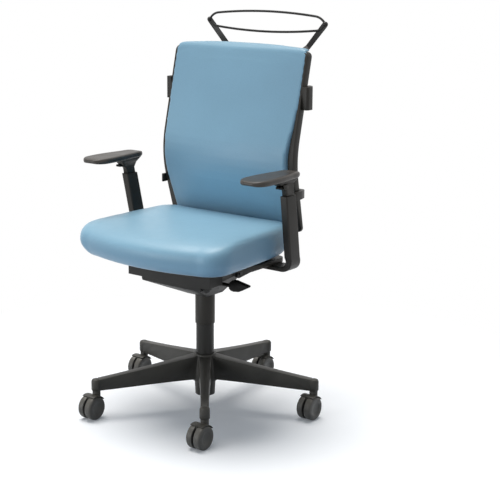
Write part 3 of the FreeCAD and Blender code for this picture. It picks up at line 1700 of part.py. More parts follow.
def build_coat_hanger():
    """Lens shaped loop of round rod on two flat arms, bolted to the upper cross bar."""
    half = size("hanger_half")
    y = size("hanger_y")
    z = size("hanger_z")
    rod = size("hanger_rod_radius")
    solids = []
    for rise in (size("hanger_crest"), -size("hanger_sag")):
        bow = hanger_bow(rise)
        start = bow.Edges[0].tangentAt(bow.Edges[0].FirstParameter)
        circle = Part.Circle(Vector(half, y, z), start, rod).toShape()
        solids.append(bow.makePipeShell([Part.Wire([circle])], True, False))
    foot_z = size("high_bar_z")
    foot_y = size("high_bar_rear") + size("hanger_bar_thick") / 2
    foot_x = size("hanger_foot_x")
    for sign in (1, -1):
        tip = Vector(sign * half, y, z)
        solids.append(Part.makeSphere(size("hanger_end_radius"), tip))
        path = [
            tip,
            Vector(sign * (half - 57), y + 3, z - 64),
            Vector(sign * foot_x, foot_y + 14, foot_z + 62),
            Vector(sign * foot_x, foot_y, foot_z + 26),
            Vector(sign * foot_x, foot_y, foot_z - 10),
        ]
        sideways = Vector(sign, 0, 0)
        sections = []
        for index, point in enumerate(path):
            ahead = path[min(index + 1, len(path) - 1)]
            behind = path[max(index - 1, 0)]
            heading = (ahead - behind).normalize()
            across = sideways - heading * sideways.dot(heading)
            sections.append(bar_section(point, across.normalize(), heading))
        solids.append(loft_solid(sections, True))
    hanger = solids[0].fuse(solids[1:])
    hole = size("bolt_radius") + 0.1
    for sign in (1, -1):
        at = Vector(sign * foot_x, foot_y - size("hanger_bar_thick"), foot_z)
        hanger = hanger.cut(Part.makeCylinder(hole, 2 * size("hanger_bar_thick"), at, Vector(0, 1, 0)))
    shaped("coat_hanger", hanger.removeSplitter())


def check_and_write():
    doc.recompute()
    failed = [item.Label for item in doc.Objects if "Invalid" in item.State or "Error" in item.State]
    if failed:
        raise RuntimeError(f"failed objects: {failed}")
    for piece in SUB_PARTS:
        shape = piece.Shape
        if shape.isNull() or not shape.isValid() or not shape.Solids:
            raise RuntimeError(f"{piece.Label}: no valid solid")
    os.makedirs("parts", exist_ok=True)
    for piece in SUB_PARTS:
        piece.Shape.exportStep(os.path.join("parts", piece.Label + ".step"))
    print(f"{len(SUB_PARTS)} sub-parts written")


build_star_base()
for number in range(1, int(size("leg_count")) + 1):
    build_caster(number)
build_column()
build_mechanism()
build_seat()
build_seat_cushion()
build_arms()
build_back_bar()
build_back_frame()
build_back_shell()
build_back_cushion()
build_back_bolts()
build_coat_hanger()
check_and_write()
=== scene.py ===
"""Looks of the high back office chair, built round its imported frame."""

import json
import math

import bmesh
import bpy
import numpy as np
from bpy.props import FloatProperty, FloatVectorProperty, IntProperty, PointerProperty
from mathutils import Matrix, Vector


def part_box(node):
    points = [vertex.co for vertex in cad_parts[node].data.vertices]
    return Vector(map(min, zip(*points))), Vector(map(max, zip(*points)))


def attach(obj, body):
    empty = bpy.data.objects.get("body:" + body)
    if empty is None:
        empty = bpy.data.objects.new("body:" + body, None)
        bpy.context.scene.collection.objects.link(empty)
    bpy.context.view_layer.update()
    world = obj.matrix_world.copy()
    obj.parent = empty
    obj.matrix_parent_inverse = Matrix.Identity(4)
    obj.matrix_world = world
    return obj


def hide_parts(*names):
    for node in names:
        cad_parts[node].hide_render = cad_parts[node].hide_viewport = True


bl_info = {
    "name": "High Back Office Chair",
    "version": (1, 0, 0),
    "blender": (4, 5, 0),
    "location": "View3D > Sidebar > Chair",
    "description": "Dresses the packed chair with upholstery, moulded plastic, steel and a studio",
    "category": "Object",
}

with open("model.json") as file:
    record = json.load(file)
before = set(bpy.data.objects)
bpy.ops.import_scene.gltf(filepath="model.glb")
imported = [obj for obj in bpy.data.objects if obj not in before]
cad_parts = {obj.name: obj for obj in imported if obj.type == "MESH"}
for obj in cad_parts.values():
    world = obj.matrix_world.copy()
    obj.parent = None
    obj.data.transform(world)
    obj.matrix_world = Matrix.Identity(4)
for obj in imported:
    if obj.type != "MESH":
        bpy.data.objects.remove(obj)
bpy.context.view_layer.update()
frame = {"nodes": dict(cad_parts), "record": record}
NODES = frame["nodes"]
BODIES = frame["record"]["behaviour"]["bodies"]
BODY_OF = {node: body for body, members in BODIES.items() for node in members}
SIDES = ("left", "right")
CASTERS = range(1, 6)

# Axes of the frame: from front to rear, and up
ALONG = 1
UP = 2

# Nodes that share a finish
PLASTIC_NODES = [
    "column_sleeve",
    "back_shell",
    "back_frame",
    "seat_pan",
    "lift_bush",
    *[f"arm_{piece}_{side}" for piece in ("bracket", "post") for side in SIDES],
]
FOOT_NODES = ["star_base", *[f"caster_{number}_housing" for number in CASTERS]]
CONTROL_NODES = ["height_lever", "lock_lever", *[f"arm_trigger_{side}" for side in SIDES]]
CAST_NODES = ["mechanism_housing", "seat_frame", "back_bar"]
WHEEL_NODES = [f"caster_{number}_wheel_{side}" for number in CASTERS for side in SIDES]
PAINTED_NODES = ["lift_tube", "coat_hanger"]
BLACKENED_NODES = ["recline_shaft", "seat_pivot_pin", "lever_pin"]
STEEL_NODES = [
    "gas_cylinder",
    "piston_rod",
    "rod_clip",
    "valve_pin",
    "thrust_bearing",
    "recline_springs",
    *[f"caster_{number}_{piece}" for number in CASTERS for piece in ("stem", "axle")],
]

# Meshes: points this near in metres become one, and angles between faces in degrees
MERGE_DISTANCE = 2e-6
FLAT_ANGLE = 0.6
ROUNDED_ANGLE = 38
PART_CRISP_ANGLE = 50
SCREW_CRISP_ANGLE = 35
NEVER_CRISP_ANGLE = 180

# Covers: rounds that ease out facets, each a step to the neighbours and one back
SEAT_ROUNDS = 12
BACK_ROUNDS = 8
PAD_ROUNDS = 6
EASE_STEPS = (0.5, -0.52)

# Covers: grid of the back as a share of the cloth size, and of the arm pads in metres
BACK_GRID_SHARE = 0.9
PAD_GRID = 0.0025

# Covers: which points may swell, and how far a patch is drawn in before it swells
SEAT_HELD_HEIGHT = 0.012
REAR_FACING = 0.3
FRONT_FACING = -0.8
HELD_DEPTH = 0.05
DRAWN_IN_SHARE = 0.3
SHORTEST_MOVE = 1e-9

# Screws: sides of their round forms, and shares of the head's height and radius
HEAD_SIDES = 40
SOCKET_SIDES = 6
SHANK_SIDES = 24
STRAIGHT_SHARE = 0.8
TOP_RADIUS_SHARE = 0.86
SOCKET_MIDDLE_SHARE = 0.95

# Screws: digits of metres by which two are told apart
SORT_DIGITS = 5

# Screws: node, axis they lie along, way their heads look and radius of their shanks in metres
SCREWS = (
    ("seat_screws", UP, -1, 0.003),
    ("arm_bolts", UP, -1, 0.003),
    ("back_bolts", ALONG, 1, 0.004),
)

# Shading: where most of a noise lies, roughness of satin plastic, and full white
NOISE_LOW = 0.3
NOISE_HIGH = 0.7
SATIN = (0.4, 0.5)
WHITE = (1.0, 1.0, 1.0, 1.0)

# Sockets by their place in a node: of a colour mix, and the number of a random value
MIX_FACTOR = 0
MIX_FIRST = 6
MIX_SECOND = 7
MIX_RESULT = 2
RANDOM_NUMBER = 1

# Camera: width of its sensor in millimetres
SENSOR_WIDTH = 36


# Properties
def linear(red, green, blue):
    """Shader colour of an 8 bit screen colour, by the sRGB curve."""

    def channel(value):
        share = value / 255
        return share / 12.92 if share <= 0.04045 else ((share + 0.055) / 1.055) ** 2.4

    return channel(red), channel(green), channel(blue)


def light_property(name, description, default):
    """Colour given as an amount of light, 1 for full."""
    return FloatVectorProperty(
        name=name, description=description, default=default, size=3, min=0, max=1, subtype="COLOR"
    )


def colour_property(name, description, default):
    """Colour given as it looks on a screen, 255 for full."""
    return light_property(name, description, linear(*default))


def length_property(name, description, default, least=0.0):
    return FloatProperty(name=name, description=description, default=default, min=least, unit="LENGTH")


def place_property(name, description, default):
    return FloatVectorProperty(
        name=name, description=description, default=default, size=3, subtype="TRANSLATION", unit="LENGTH"
    )


def angle_property(name, description, degrees):
    return FloatProperty(
        name=name, description=description, default=math.radians(degrees), subtype="ANGLE", unit="ROTATION"
    )


def amount_property(name, description, default, unit="NONE"):
    return FloatProperty(name=name, description=description, default=default, min=0, unit=unit)


def count_property(name, description, default, least=0):
    return IntProperty(name=name, description=description, default=default, min=least)


class ChairFinish(bpy.types.PropertyGroup):
    """Colours and fine sizes of the chair's surfaces"""

    cover: colour_property("Cover", "Colour of the seat and back upholstery", (137, 179, 201))
    plastic: colour_property("Plastic", "Colour of the moulded parts from the column up", (42, 39, 34))
    # Controls: the moulded plastic painted darker for the shade the levers and triggers sit in
    control: colour_property("Controls", "Colour of the levers and triggers", (22, 21, 19))
    # Foot: the moulded plastic painted lighter near the floor, standing in for the light the floor throws up
    # on the base and caster housings
    foot: colour_property("Foot", "Colour of the moulded base and caster housings", (62, 60, 55))
    casting: colour_property("Casting", "Colour of the powder coated castings", (36, 35, 33))
    paint: colour_property("Paint", "Colour of the painted steel", (30, 29, 26))
    wheel: colour_property("Wheel", "Colour of the caster wheels", (90, 87, 81))
    pad: colour_property("Arm pad", "Colour of the soft arm pads", (50, 44, 38))
    screw: colour_property("Screws", "Colour of the blackened screws and pins", (34, 34, 34))
    steel: colour_property("Steel", "Colour of the plated steel", (170, 172, 174))
    grain: length_property("Cover grain", "Width of a pebble of the cover's grain", 0.0016, 0.0004)
    texture: length_property("Plastic texture", "Width of a pit in the moulded plastic", 0.0007, 0.0002)
    edge: length_property("Edge rounding", "Radius along the edges of hard parts", 0.0012)
    head_height: length_property("Screw head", "Height of a screw's head", 0.005, 0.001)
    seed: count_property("Seed", "Seed of the screws' turn in their holes", 5)


class ChairCushions(bpy.types.PropertyGroup):
    """How the covers are laid and blown up"""

    voxel: length_property("Cloth size", "Spacing of the cloth's points", 0.0055, 0.003)
    pressure: amount_property("Pressure", "Push of the foam on its cover", 4)
    frames: count_property("Frames", "Steps of the cloth", 20, 1)
    seat_swell: length_property("Seat swell", "How far the seat's cover may move", 0.004)
    back_swell: length_property("Back swell", "How far the back's cover may move", 0.003)
    crown: length_property("Crown", "Rise of the seat's top at mid depth", 0.006)
    border: count_property("Border", "Rounds over which a swelling fades to its edge", 60, 1)
    ease: count_property("Ease", "Rounds that ease creases out of the cloth", 24)
    tuck: length_property("Tuck", "How far the back's cover is tucked into its shell", 0.007)


class ChairStage(bpy.types.PropertyGroup):
    """Camera, light and floor"""

    azimuth: angle_property("Azimuth", "Camera's turn from the front", 38.6)
    elevation: angle_property("Elevation", "Camera's rise over the level", 11.72)
    distance: length_property("Distance", "Camera to the aimed point", 3.4855, 0.1)
    aim: length_property("Aim height", "Height of the point that camera and fill light aim at", 0.55)
    lens: amount_property("Lens", "Focal length on a 36 mm sensor", 92.92, unit="CAMERA")
    shift: FloatVectorProperty(
        name="Shift", description="Framing shift of the lens", default=(0.0898, -0.0785), size=2
    )
    ambient: amount_property("Ambient", "Even light from all round", 0.26)
    sky: light_property("Ambient colour", "Colour of the light from all round", (0.84, 0.92, 1.0))
    key: amount_property("Key light", "Strength of the wide light overhead", 2.85)
    key_spread: angle_property("Key spread", "Width of the overhead light", 40)
    key_from: place_property("Key place", "Point that the overhead light comes from", (-0.6, 0.14, 2.9))
    key_colour: light_property("Key colour", "Colour of the overhead light", (1.0, 0.985, 0.96))
    fill: amount_property("Fill light", "Power of the large lamp in front", 31, unit="POWER")
    fill_size: length_property("Fill size", "Width of the large lamp in front", 2)
    fill_from: place_property("Fill place", "Place of the large lamp in front", (-1.2, -3.0, 0.75))
    fill_colour: light_property("Fill colour", "Colour of the large lamp in front", (0.94, 0.97, 1.0))
    floor: colour_property("Floor", "Colour of the floor", (248, 249, 251))
    floor_half: length_property("Floor half", "Half the floor's width", 12)
    fade_start: length_property("Fade start", "Distance at which the floor starts to fade to white", 0.45)
    fade_end: length_property("Fade end", "Distance at which the floor is white", 1.15)
    bounce: colour_property("Bounce", "Colour of the light that the floor throws up", (132, 145, 163))
    glow: amount_property("Glow", "Lift of the floor's shadows", 0.1)
    glow_colour: light_property("Glow colour", "Colour of light in the floor's shadows", (0.86, 0.92, 1.0))


# Shader nodes
def new_material(name):
    """Empty procedural material, its node tree and its shader."""
    material = bpy.data.materials.new(name)
    material.use_nodes = True
    return material, material.node_tree, material.node_tree.nodes["Principled BSDF"]


def set_inputs(tree, node, inputs):
    """Set a node's inputs to values, or link them to sockets."""
    for name, value in inputs.items():
        socket = node.inputs[name]
        if isinstance(value, bpy.types.NodeSocket):
            tree.links.new(value, socket)
        else:
            socket.default_value = value


def add_node(tree, kind, inputs=None, **settings):
    """Node with its settings and inputs."""
    node = tree.nodes.new(kind)
    for name, value in settings.items():
        setattr(node, name, value)
    set_inputs(tree, node, inputs or {})
    return node


def object_noise(tree, width, detail=2.0, roughness=0.5):
    """Noise whose blobs are about this wide, in metres."""
    where = add_node(tree, "ShaderNodeTexCoord").outputs["Object"]
    inputs = {"Vector": where, "Scale": 1 / width, "Detail": detail, "Roughness": roughness}
    return add_node(tree, "ShaderNodeTexNoise", inputs).outputs["Fac"]


def combine(tree, operation, first, second):
    """Product, difference or the like of two values."""
    return add_node(tree, "ShaderNodeMath", {0: first, 1: second}, operation=operation).outputs["Value"]


def spread(tree, value, low, high, start=0.0, end=1.0):
    """Value moved from the range of start and end to that of low and high."""
    inputs = {"Value": value, "From Min": start, "From Max": end, "To Min": low, "To Max": high}
    return add_node(tree, "ShaderNodeMapRange", inputs).outputs["Result"]


def spread_noise(tree, noise, low, high):
    """Noise spread over a whole range."""
    return spread(tree, noise, low, high, NOISE_LOW, NOISE_HIGH)


def tint(colour, share):
    """A colour made darker or lighter."""
    return (*[min(1.0, channel * share) for channel in colour], 1.0)


def mix_colours(tree, factor, first, second):
    """First colour at a factor of 0, second at 1."""
    inputs = {MIX_FACTOR: factor, MIX_FIRST: first, MIX_SECOND: second}
    return add_node(tree, "ShaderNodeMix", inputs, data_type="RGBA").outputs[MIX_RESULT]


def two_tones(tree, factor, colour, dark, light):
    """A colour that wanders between two shares of itself."""
    return mix_colours(tree, factor, tint(colour, dark), tint(colour, light))


# The materials paint a lighter sheen along the edges this finds
def edge_sheen(tree, radius):
    """Rounded normal of nearby edges, and how much a point lies on an edge."""
    rounded = add_node(tree, "ShaderNodeBevel", {"Radius": radius}, samples=4).outputs["Normal"]
    plain = add_node(tree, "ShaderNodeNewGeometry").outputs["Normal"]
    pair = {0: rounded, 1: plain}
    facing = add_node(tree, "ShaderNodeVectorMath", pair, operation="DOT_PRODUCT").outputs["Value"]
    return rounded, spread(tree, facing, 1.0, 0.0, start=0.75, end=0.99)


def relief(tree, height, strength, depth, normal=None):
    """Normal of a surface with this height on it, over another normal where there is one."""
    inputs = {"Height": height, "Strength": strength, "Distance": depth}
    if normal is not None:
        inputs["Normal"] = normal
    return add_node(tree, "ShaderNodeBump", inputs).outputs["Normal"]


# Materials
def moulded_material(name, colour, pit, roughness, pit_depth=0.00012, gloss=0.3):
    """Spark textured plastic: fine pits, slow change of tone, and a painted sheen that lightens its edges,
    broken up by specks like scuffs.
    """
    material, tree, shader = new_material(name)
    pits = object_noise(tree, width=pit, detail=3.0, roughness=0.6)
    clouds = object_noise(tree, width=0.07, detail=3.0)
    specks = object_noise(tree, width=pit * 3)
    rounded, edge = edge_sheen(tree, radius=0.0016)
    tone = two_tones(tree, clouds, colour, dark=0.88, light=1.12)
    pitting = spread(tree, pits, 0.0, 0.35, start=0.35, end=0.7)
    pitted = mix_colours(tree, pitting, tone, tint(colour, 1.3))
    # Edges painted lighter where the specks fall: a painted sheen, speckled like scuffs
    scuffs = spread(tree, combine(tree, "MULTIPLY", edge, specks), 0.0, 0.6)
    surface = {
        "Base Color": mix_colours(tree, scuffs, pitted, tint(colour, 2.0)),
        "Roughness": spread_noise(tree, clouds, *roughness),
        "Normal": relief(tree, pits, strength=0.35, depth=pit_depth, normal=rounded),
        "Specular IOR Level": gloss,
    }
    set_inputs(tree, shader, surface)
    return material


def steel_material(name, colour):
    """Plated steel with fine turning marks and faint smudges."""
    material, tree, shader = new_material(name)
    smudges = object_noise(tree, width=0.012, detail=4.0)
    marks = object_noise(tree, width=0.0006)
    surface = {
        "Base Color": two_tones(tree, smudges, colour, dark=0.8, light=1.1),
        "Roughness": spread(tree, smudges, 0.26, 0.46),
        "Normal": relief(tree, marks, strength=0.2, depth=0.00005),
        "Metallic": 1.0,
    }
    set_inputs(tree, shader, surface)
    return material


def painted_material(name, colour):
    """Satin paint on steel: slight orange peel, and thin edges painted lighter as a sheen."""
    material, tree, shader = new_material(name)
    peel = object_noise(tree, width=0.0025)
    clouds = object_noise(tree, width=0.05, detail=3.0)
    rounded, edge = edge_sheen(tree, radius=0.001)
    tone = two_tones(tree, clouds, colour, dark=0.85, light=1.15)
    surface = {
        # Edges painted lighter: a painted sheen along every edge
        "Base Color": mix_colours(tree, spread(tree, edge, 0.0, 0.4), tone, tint(colour, 2.4)),
        "Roughness": spread_noise(tree, clouds, 0.34, 0.46),
        "Normal": relief(tree, peel, strength=0.2, depth=0.0001, normal=rounded),
        "Specular IOR Level": 0.3,
    }
    set_inputs(tree, shader, surface)
    return material


def cover_material(name, colour, grain):
    """Soft cover with a pebbled grain, and painted shade that makes the creases of its grain a little
    darker.
    """
    material, tree, shader = new_material(name)
    where = add_node(tree, "ShaderNodeTexCoord").outputs["Object"]
    wander = {0: object_noise(tree, width=grain * 3), 1: (grain,) * 3}
    shift = add_node(tree, "ShaderNodeVectorMath", wander, operation="MULTIPLY").outputs["Vector"]
    moved = add_node(tree, "ShaderNodeVectorMath", {0: where, 1: shift}, operation="ADD").outputs["Vector"]
    cells = {"Vector": moved, "Scale": 1 / grain, "Smoothness": 0.6}
    pebbles = add_node(tree, "ShaderNodeTexVoronoi", cells, feature="SMOOTH_F1").outputs["Distance"]
    fine = object_noise(tree, width=grain / 4)
    clouds = object_noise(tree, width=0.16, detail=3.0, roughness=0.45)
    patches = object_noise(tree, width=0.03, detail=3.0)
    tone = two_tones(tree, spread_noise(tree, clouds, 0.0, 1.0), colour, dark=0.965, light=1.03)
    # Painted shade in the creases between the pebbles of the grain
    creases = spread(tree, pebbles, 0.0, 0.5, start=0.35, end=0.8)
    height = combine(tree, "SUBTRACT", combine(tree, "MULTIPLY", fine, 0.25), pebbles)
    surface = {
        "Base Color": mix_colours(tree, creases, tone, tint(colour, 0.86)),
        "Roughness": spread_noise(tree, patches, 0.38, 0.47),
        "Normal": relief(tree, height, strength=0.3, depth=0.0003),
        "Specular IOR Level": 0.5,
        "Sheen Weight": 0.12,
        "Sheen Roughness": 0.4,
    }
    set_inputs(tree, shader, surface)
    return material


def pad_material(name, colour):
    """Skinned foam of the arm pads: leathery pits with a satin top."""
    material, tree, shader = new_material(name)
    pits = object_noise(tree, width=0.0011, detail=3.0, roughness=0.6)
    clouds = object_noise(tree, width=0.04, detail=3.0)
    tone = two_tones(tree, clouds, colour, dark=0.9, light=1.12)
    pitting = spread(tree, pits, 0.0, 0.4, start=0.35, end=0.7)
    surface = {
        "Base Color": mix_colours(tree, pitting, tone, tint(colour, 1.25)),
        "Roughness": spread_noise(tree, clouds, 0.36, 0.46),
        "Normal": relief(tree, pits, strength=0.3, depth=0.00018),
    }
    set_inputs(tree, shader, surface)
    return material


# Finishes
def made_once(name, make, *values, **settings):
    """The material of that name, made when it is first asked for."""
    return bpy.data.materials.get(name) or make(name, *values, **settings)


def plastic_finish(finish):
    return made_once("charcoal_plastic", moulded_material, finish.plastic, finish.texture, SATIN)


# The moulded plastic of the levers and triggers, painted darker as shade
def shaded_control_finish(finish):
    return made_once("control_plastic", moulded_material, finish.control, finish.texture, SATIN, gloss=0.12)


# The moulded plastic of the base and caster housings, painted lighter for the floor's bounce light
def bounce_lit_foot_finish(finish):
    return made_once("foot_plastic", moulded_material, finish.foot, finish.texture, SATIN)


def casting_finish(finish):
    coat = finish.texture * 1.6
    return made_once("coated_casting", moulded_material, finish.casting, coat, (0.48, 0.6), pit_depth=0.0002)


def wheel_finish(finish):
    pit = finish.texture
    return made_once("wheel_moulding", moulded_material, finish.wheel, pit, (0.36, 0.46), pit_depth=0.00006)


def paint_finish(finish):
    return made_once("satin_black_paint", painted_material, finish.paint)


def steel_finish(finish):
    return made_once("plated_steel", steel_material, finish.steel)


def screw_finish(finish):
    return made_once("blackened_screws", painted_material, finish.screw)


def cover_finish(finish):
    return made_once("pale_blue_cover", cover_material, finish.cover, finish.grain)


def pad_finish(finish):
    return made_once("soft_arm_pad", pad_material, finish.pad)


# Meshes
def link(name, data):
    """New object in the scene."""
    obj = bpy.data.objects.new(name, data)
    bpy.context.scene.collection.objects.link(obj)
    return obj


def read_vectors(items, name):
    """One row of three numbers for each item of a mesh."""
    values = np.zeros(len(items) * 3)
    items.foreach_get(name, values)
    return values.reshape(-1, 3)


def points_of(mesh):
    return read_vectors(mesh.vertices, "co")


def normals_of(mesh):
    return read_vectors(mesh.vertex_normals, "vector")


def set_points(mesh, points):
    mesh.vertices.foreach_set("co", points.astype(np.float32).ravel())
    mesh.update()


def set_material(mesh, material):
    """Give a mesh this material and no other."""
    mesh.materials.clear()
    mesh.materials.append(material)


def node_copy(node, name, flatten=True):
    """Joined up copy of a node's mesh as a new object; flat areas may become single faces."""
    source = NODES[node].data
    faces = [tuple(face.vertices) for face in source.polygons]
    mesh = bpy.data.meshes.new(name)
    mesh.from_pydata(points_of(source).tolist(), [], faces)
    work = bmesh.new()
    work.from_mesh(mesh)
    bmesh.ops.remove_doubles(work, verts=work.verts, dist=MERGE_DISTANCE)
    if flatten:
        turn = math.radians(FLAT_ANGLE)
        bmesh.ops.dissolve_limit(work, angle_limit=turn, verts=work.verts, edges=work.edges)
    work.to_mesh(mesh)
    work.free()
    return link(name, mesh)


def settle(obj):
    """Replace an object's mesh by what its modifiers make of it."""
    depsgraph = bpy.context.evaluated_depsgraph_get()
    mesh = bpy.data.meshes.new_from_object(obj.evaluated_get(depsgraph), depsgraph=depsgraph)
    obj.modifiers.clear()
    old = obj.data
    obj.data = mesh
    mesh.name = obj.name
    bpy.data.meshes.remove(old)


def smooth(obj, angle):
    """Smooth faces, with edges sharper than the angle kept crisp."""
    obj.data.polygons.foreach_set("use_smooth", [True] * len(obj.data.polygons))
    obj.data.set_sharp_from_angle(angle=math.radians(angle))
    obj.data.update()


def dress(obj, node):
    """Let a piece stand for a node on the node's body."""
    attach(obj, BODY_OF[node])
    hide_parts(node)


def rounded_copy(node, radius, material):
    """The node's own shape with rounded edges, standing for it on its body."""
    obj = node_copy(node, f"{node}_rounded")
    bevel = obj.modifiers.new("edges", "BEVEL")
    bevel.width = radius
    bevel.segments = 2
    bevel.limit_method = "ANGLE"
    bevel.angle_limit = math.radians(ROUNDED_ANGLE)
    bevel.use_clamp_overlap = True
    settle(obj)
    smooth(obj, PART_CRISP_ANGLE)
    set_material(obj.data, material)
    dress(obj, node)


# Upholstery
def neighbour_mean(mesh):
    """Function that averages a value of each point over the point's neighbours."""
    ends = np.zeros(len(mesh.edges) * 2, dtype=np.int32)
    mesh.edges.foreach_get("vertices", ends)
    first, second = ends.reshape(-1, 2).T
    count = np.bincount(ends, minlength=len(mesh.vertices))[:, None]

    def mean(values):
        total = np.zeros_like(values)
        np.add.at(total, first, values[second])
        np.add.at(total, second, values[first])
        return total / count

    return mean


def relax(mesh, rounds):
    """Ease out facets without shrinking: each step towards the neighbours is followed by one back."""
    mean = neighbour_mean(mesh)
    points = points_of(mesh)
    for _ in range(rounds):
        for step in EASE_STEPS:
            points += step * (mean(points) - points)
    set_points(mesh, points)


def even_mesh(obj, voxel, rounds):
    """Even grid of faces over a solid, with its facets eased out."""
    remesh = obj.modifiers.new("grid", "REMESH")
    remesh.mode = "VOXEL"
    remesh.voxel_size = voxel
    settle(obj)
    relax(obj.data, rounds)


def depth_inside(mesh, patch, rounds):
    """1 deep inside a patch of points, falling to 0 at its border."""
    mean = neighbour_mean(mesh)
    share = patch.astype(float)[:, None]
    for _ in range(rounds):
        share = mean(share) * patch[:, None]
    return share


def blow_up(obj, held, cushions):
    """How far each point of a cover moves when it is blown up as cloth, with some points held."""
    group = obj.vertex_groups.new(name="held")
    group.add(np.flatnonzero(held).tolist(), 1.0, "REPLACE")
    cloth = obj.modifiers.new("cover", "CLOTH")
    cloth.settings.quality = 5
    cloth.settings.use_pressure = True
    cloth.settings.uniform_pressure_force = cushions.pressure
    cloth.settings.vertex_group_mass = group.name
    cloth.settings.effector_weights.gravity = 0
    cloth.point_cache.frame_start = 1
    cloth.point_cache.frame_end = cushions.frames
    scene = bpy.context.scene
    for number in range(1, cushions.frames + 1):
        scene.frame_set(number)
    depsgraph = bpy.context.evaluated_depsgraph_get()
    moved = points_of(obj.evaluated_get(depsgraph).data) - points_of(obj.data)
    obj.modifiers.clear()
    obj.vertex_groups.clear()
    scene.frame_set(1)
    return moved


def swell(obj, patch, cushions, cap):
    """Draw a patch of the cover in and blow it up; no point moves past the cap, and creases ease out."""
    depth = depth_inside(obj.data, patch, cushions.border)
    drawn_in = points_of(obj.data) - normals_of(obj.data) * depth * cap * DRAWN_IN_SHARE
    set_points(obj.data, drawn_in)
    moved = blow_up(obj, depth[:, 0] < HELD_DEPTH, cushions)
    length = np.maximum(np.linalg.norm(moved, axis=1), SHORTEST_MOVE)
    shift = moved * np.minimum(1.0, cap / length)[:, None]
    mean = neighbour_mean(obj.data)
    for _ in range(cushions.ease):
        shift = mean(shift) * patch[:, None]
    set_points(obj.data, points_of(obj.data) + shift)


def finish_cover(obj, node, finish):
    """Subdivide a cover, give it its material and let it stand for its solid."""
    subdivision = obj.modifiers.new("fine", "SUBSURF")
    subdivision.levels = 1
    subdivision.render_levels = 1
    settle(obj)
    smooth(obj, NEVER_CRISP_ANGLE)
    set_material(obj.data, cover_finish(finish))
    dress(obj, node)


class CHAIR_OT_seat_cushion(bpy.types.Operator):
    """Seat cushion: foam block under a tight cover, flat where it sits on the pan"""

    bl_idname = "chair.seat_cushion"
    bl_label = "Seat Cushion"

    def execute(self, context):
        cushions = context.scene.chair_cushions
        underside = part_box("seat_cushion")[0].z
        obj = node_copy("seat_cushion", "seat_cover", flatten=False)
        even_mesh(obj, cushions.voxel, SEAT_ROUNDS)
        self.crown(obj.data, cushions.crown)
        free = points_of(obj.data)[:, UP] > underside + SEAT_HELD_HEIGHT
        swell(obj, free, cushions, cushions.seat_swell)
        finish_cover(obj, "seat_cushion", context.scene.chair_finish)
        return {"FINISHED"}

    @staticmethod
    def crown(mesh, height):
        """Raise the top between its front and rear edge."""
        points = points_of(mesh)
        low, high = points.min(axis=0), points.max(axis=0)
        from_middle = (2 * points - low - high) / (high - low)
        upper = np.clip(from_middle[:, UP], 0, 1)
        points[:, UP] += height * (1 - from_middle[:, ALONG] ** 2) * upper
        set_points(mesh, points)


class CHAIR_OT_back_cushion(bpy.types.Operator):
    """Back cushion: thin foam under a tight cover, held by the shell behind it"""

    bl_idname = "chair.back_cushion"
    bl_label = "Back Cushion"

    def execute(self, context):
        cushions = context.scene.chair_cushions
        obj = node_copy("back_cushion", "back_cover", flatten=False)
        behind = normals_of(obj.data)[:, ALONG] > REAR_FACING
        points = points_of(obj.data)
        points[behind, ALONG] += cushions.tuck
        set_points(obj.data, points)
        even_mesh(obj, cushions.voxel * BACK_GRID_SHARE, BACK_ROUNDS)
        free = normals_of(obj.data)[:, ALONG] < FRONT_FACING
        swell(obj, free, cushions, cushions.back_swell)
        finish_cover(obj, "back_cushion", context.scene.chair_finish)
        return {"FINISHED"}


class CHAIR_OT_arm_pads(bpy.types.Operator):
    """Soft arm pads with a rounded nose"""

    bl_idname = "chair.arm_pads"
    bl_label = "Arm Pads"

    def execute(self, context):
        for side in SIDES:
            node = f"arm_pad_{side}"
            obj = node_copy(node, f"arm_pad_skin_{side}", flatten=False)
            even_mesh(obj, PAD_GRID, PAD_ROUNDS)
            smooth(obj, NEVER_CRISP_ANGLE)
            set_material(obj.data, pad_finish(context.scene.chair_finish))
            dress(obj, node)
        return {"FINISHED"}


# Hard parts
class CHAIR_OT_moulded_parts(bpy.types.Operator):
    """Moulded plastic parts with rounded edges and a spark texture"""

    bl_idname = "chair.moulded_parts"
    bl_label = "Moulded Parts"

    def execute(self, context):
        finish = context.scene.chair_finish
        # The base and housings take the plastic painted lighter for the floor's bounce, the controls the
        # plastic painted darker for shade
        groups = (
            (PLASTIC_NODES, plastic_finish(finish)),
            (FOOT_NODES, bounce_lit_foot_finish(finish)),
            (CONTROL_NODES, shaded_control_finish(finish)),
        )
        for nodes, material in groups:
            for node in nodes:
                rounded_copy(node, finish.edge, material)
        return {"FINISHED"}


class CHAIR_OT_castings(bpy.types.Operator):
    """Powder coated castings under the seat and behind the back"""

    bl_idname = "chair.castings"
    bl_label = "Castings"

    def execute(self, context):
        finish = context.scene.chair_finish
        for node in CAST_NODES:
            rounded_copy(node, finish.edge, casting_finish(finish))
        return {"FINISHED"}


class CHAIR_OT_wheels(bpy.types.Operator):
    """Caster wheels of hard plastic with softly rounded rims"""

    bl_idname = "chair.wheels"
    bl_label = "Caster Wheels"

    def execute(self, context):
        finish = context.scene.chair_finish
        for node in WHEEL_NODES:
            rounded_copy(node, finish.edge, wheel_finish(finish))
        return {"FINISHED"}


class CHAIR_OT_steel_parts(bpy.types.Operator):
    """Painted, blackened and plated steel parts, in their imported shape"""

    bl_idname = "chair.steel_parts"
    bl_label = "Steel Parts"

    def execute(self, context):
        finish = context.scene.chair_finish
        groups = (
            (PAINTED_NODES, paint_finish(finish)),
            (BLACKENED_NODES, screw_finish(finish)),
            (STEEL_NODES, steel_finish(finish)),
        )
        for nodes, material in groups:
            for node in nodes:
                set_material(NODES[node].data, material)
        return {"FINISHED"}


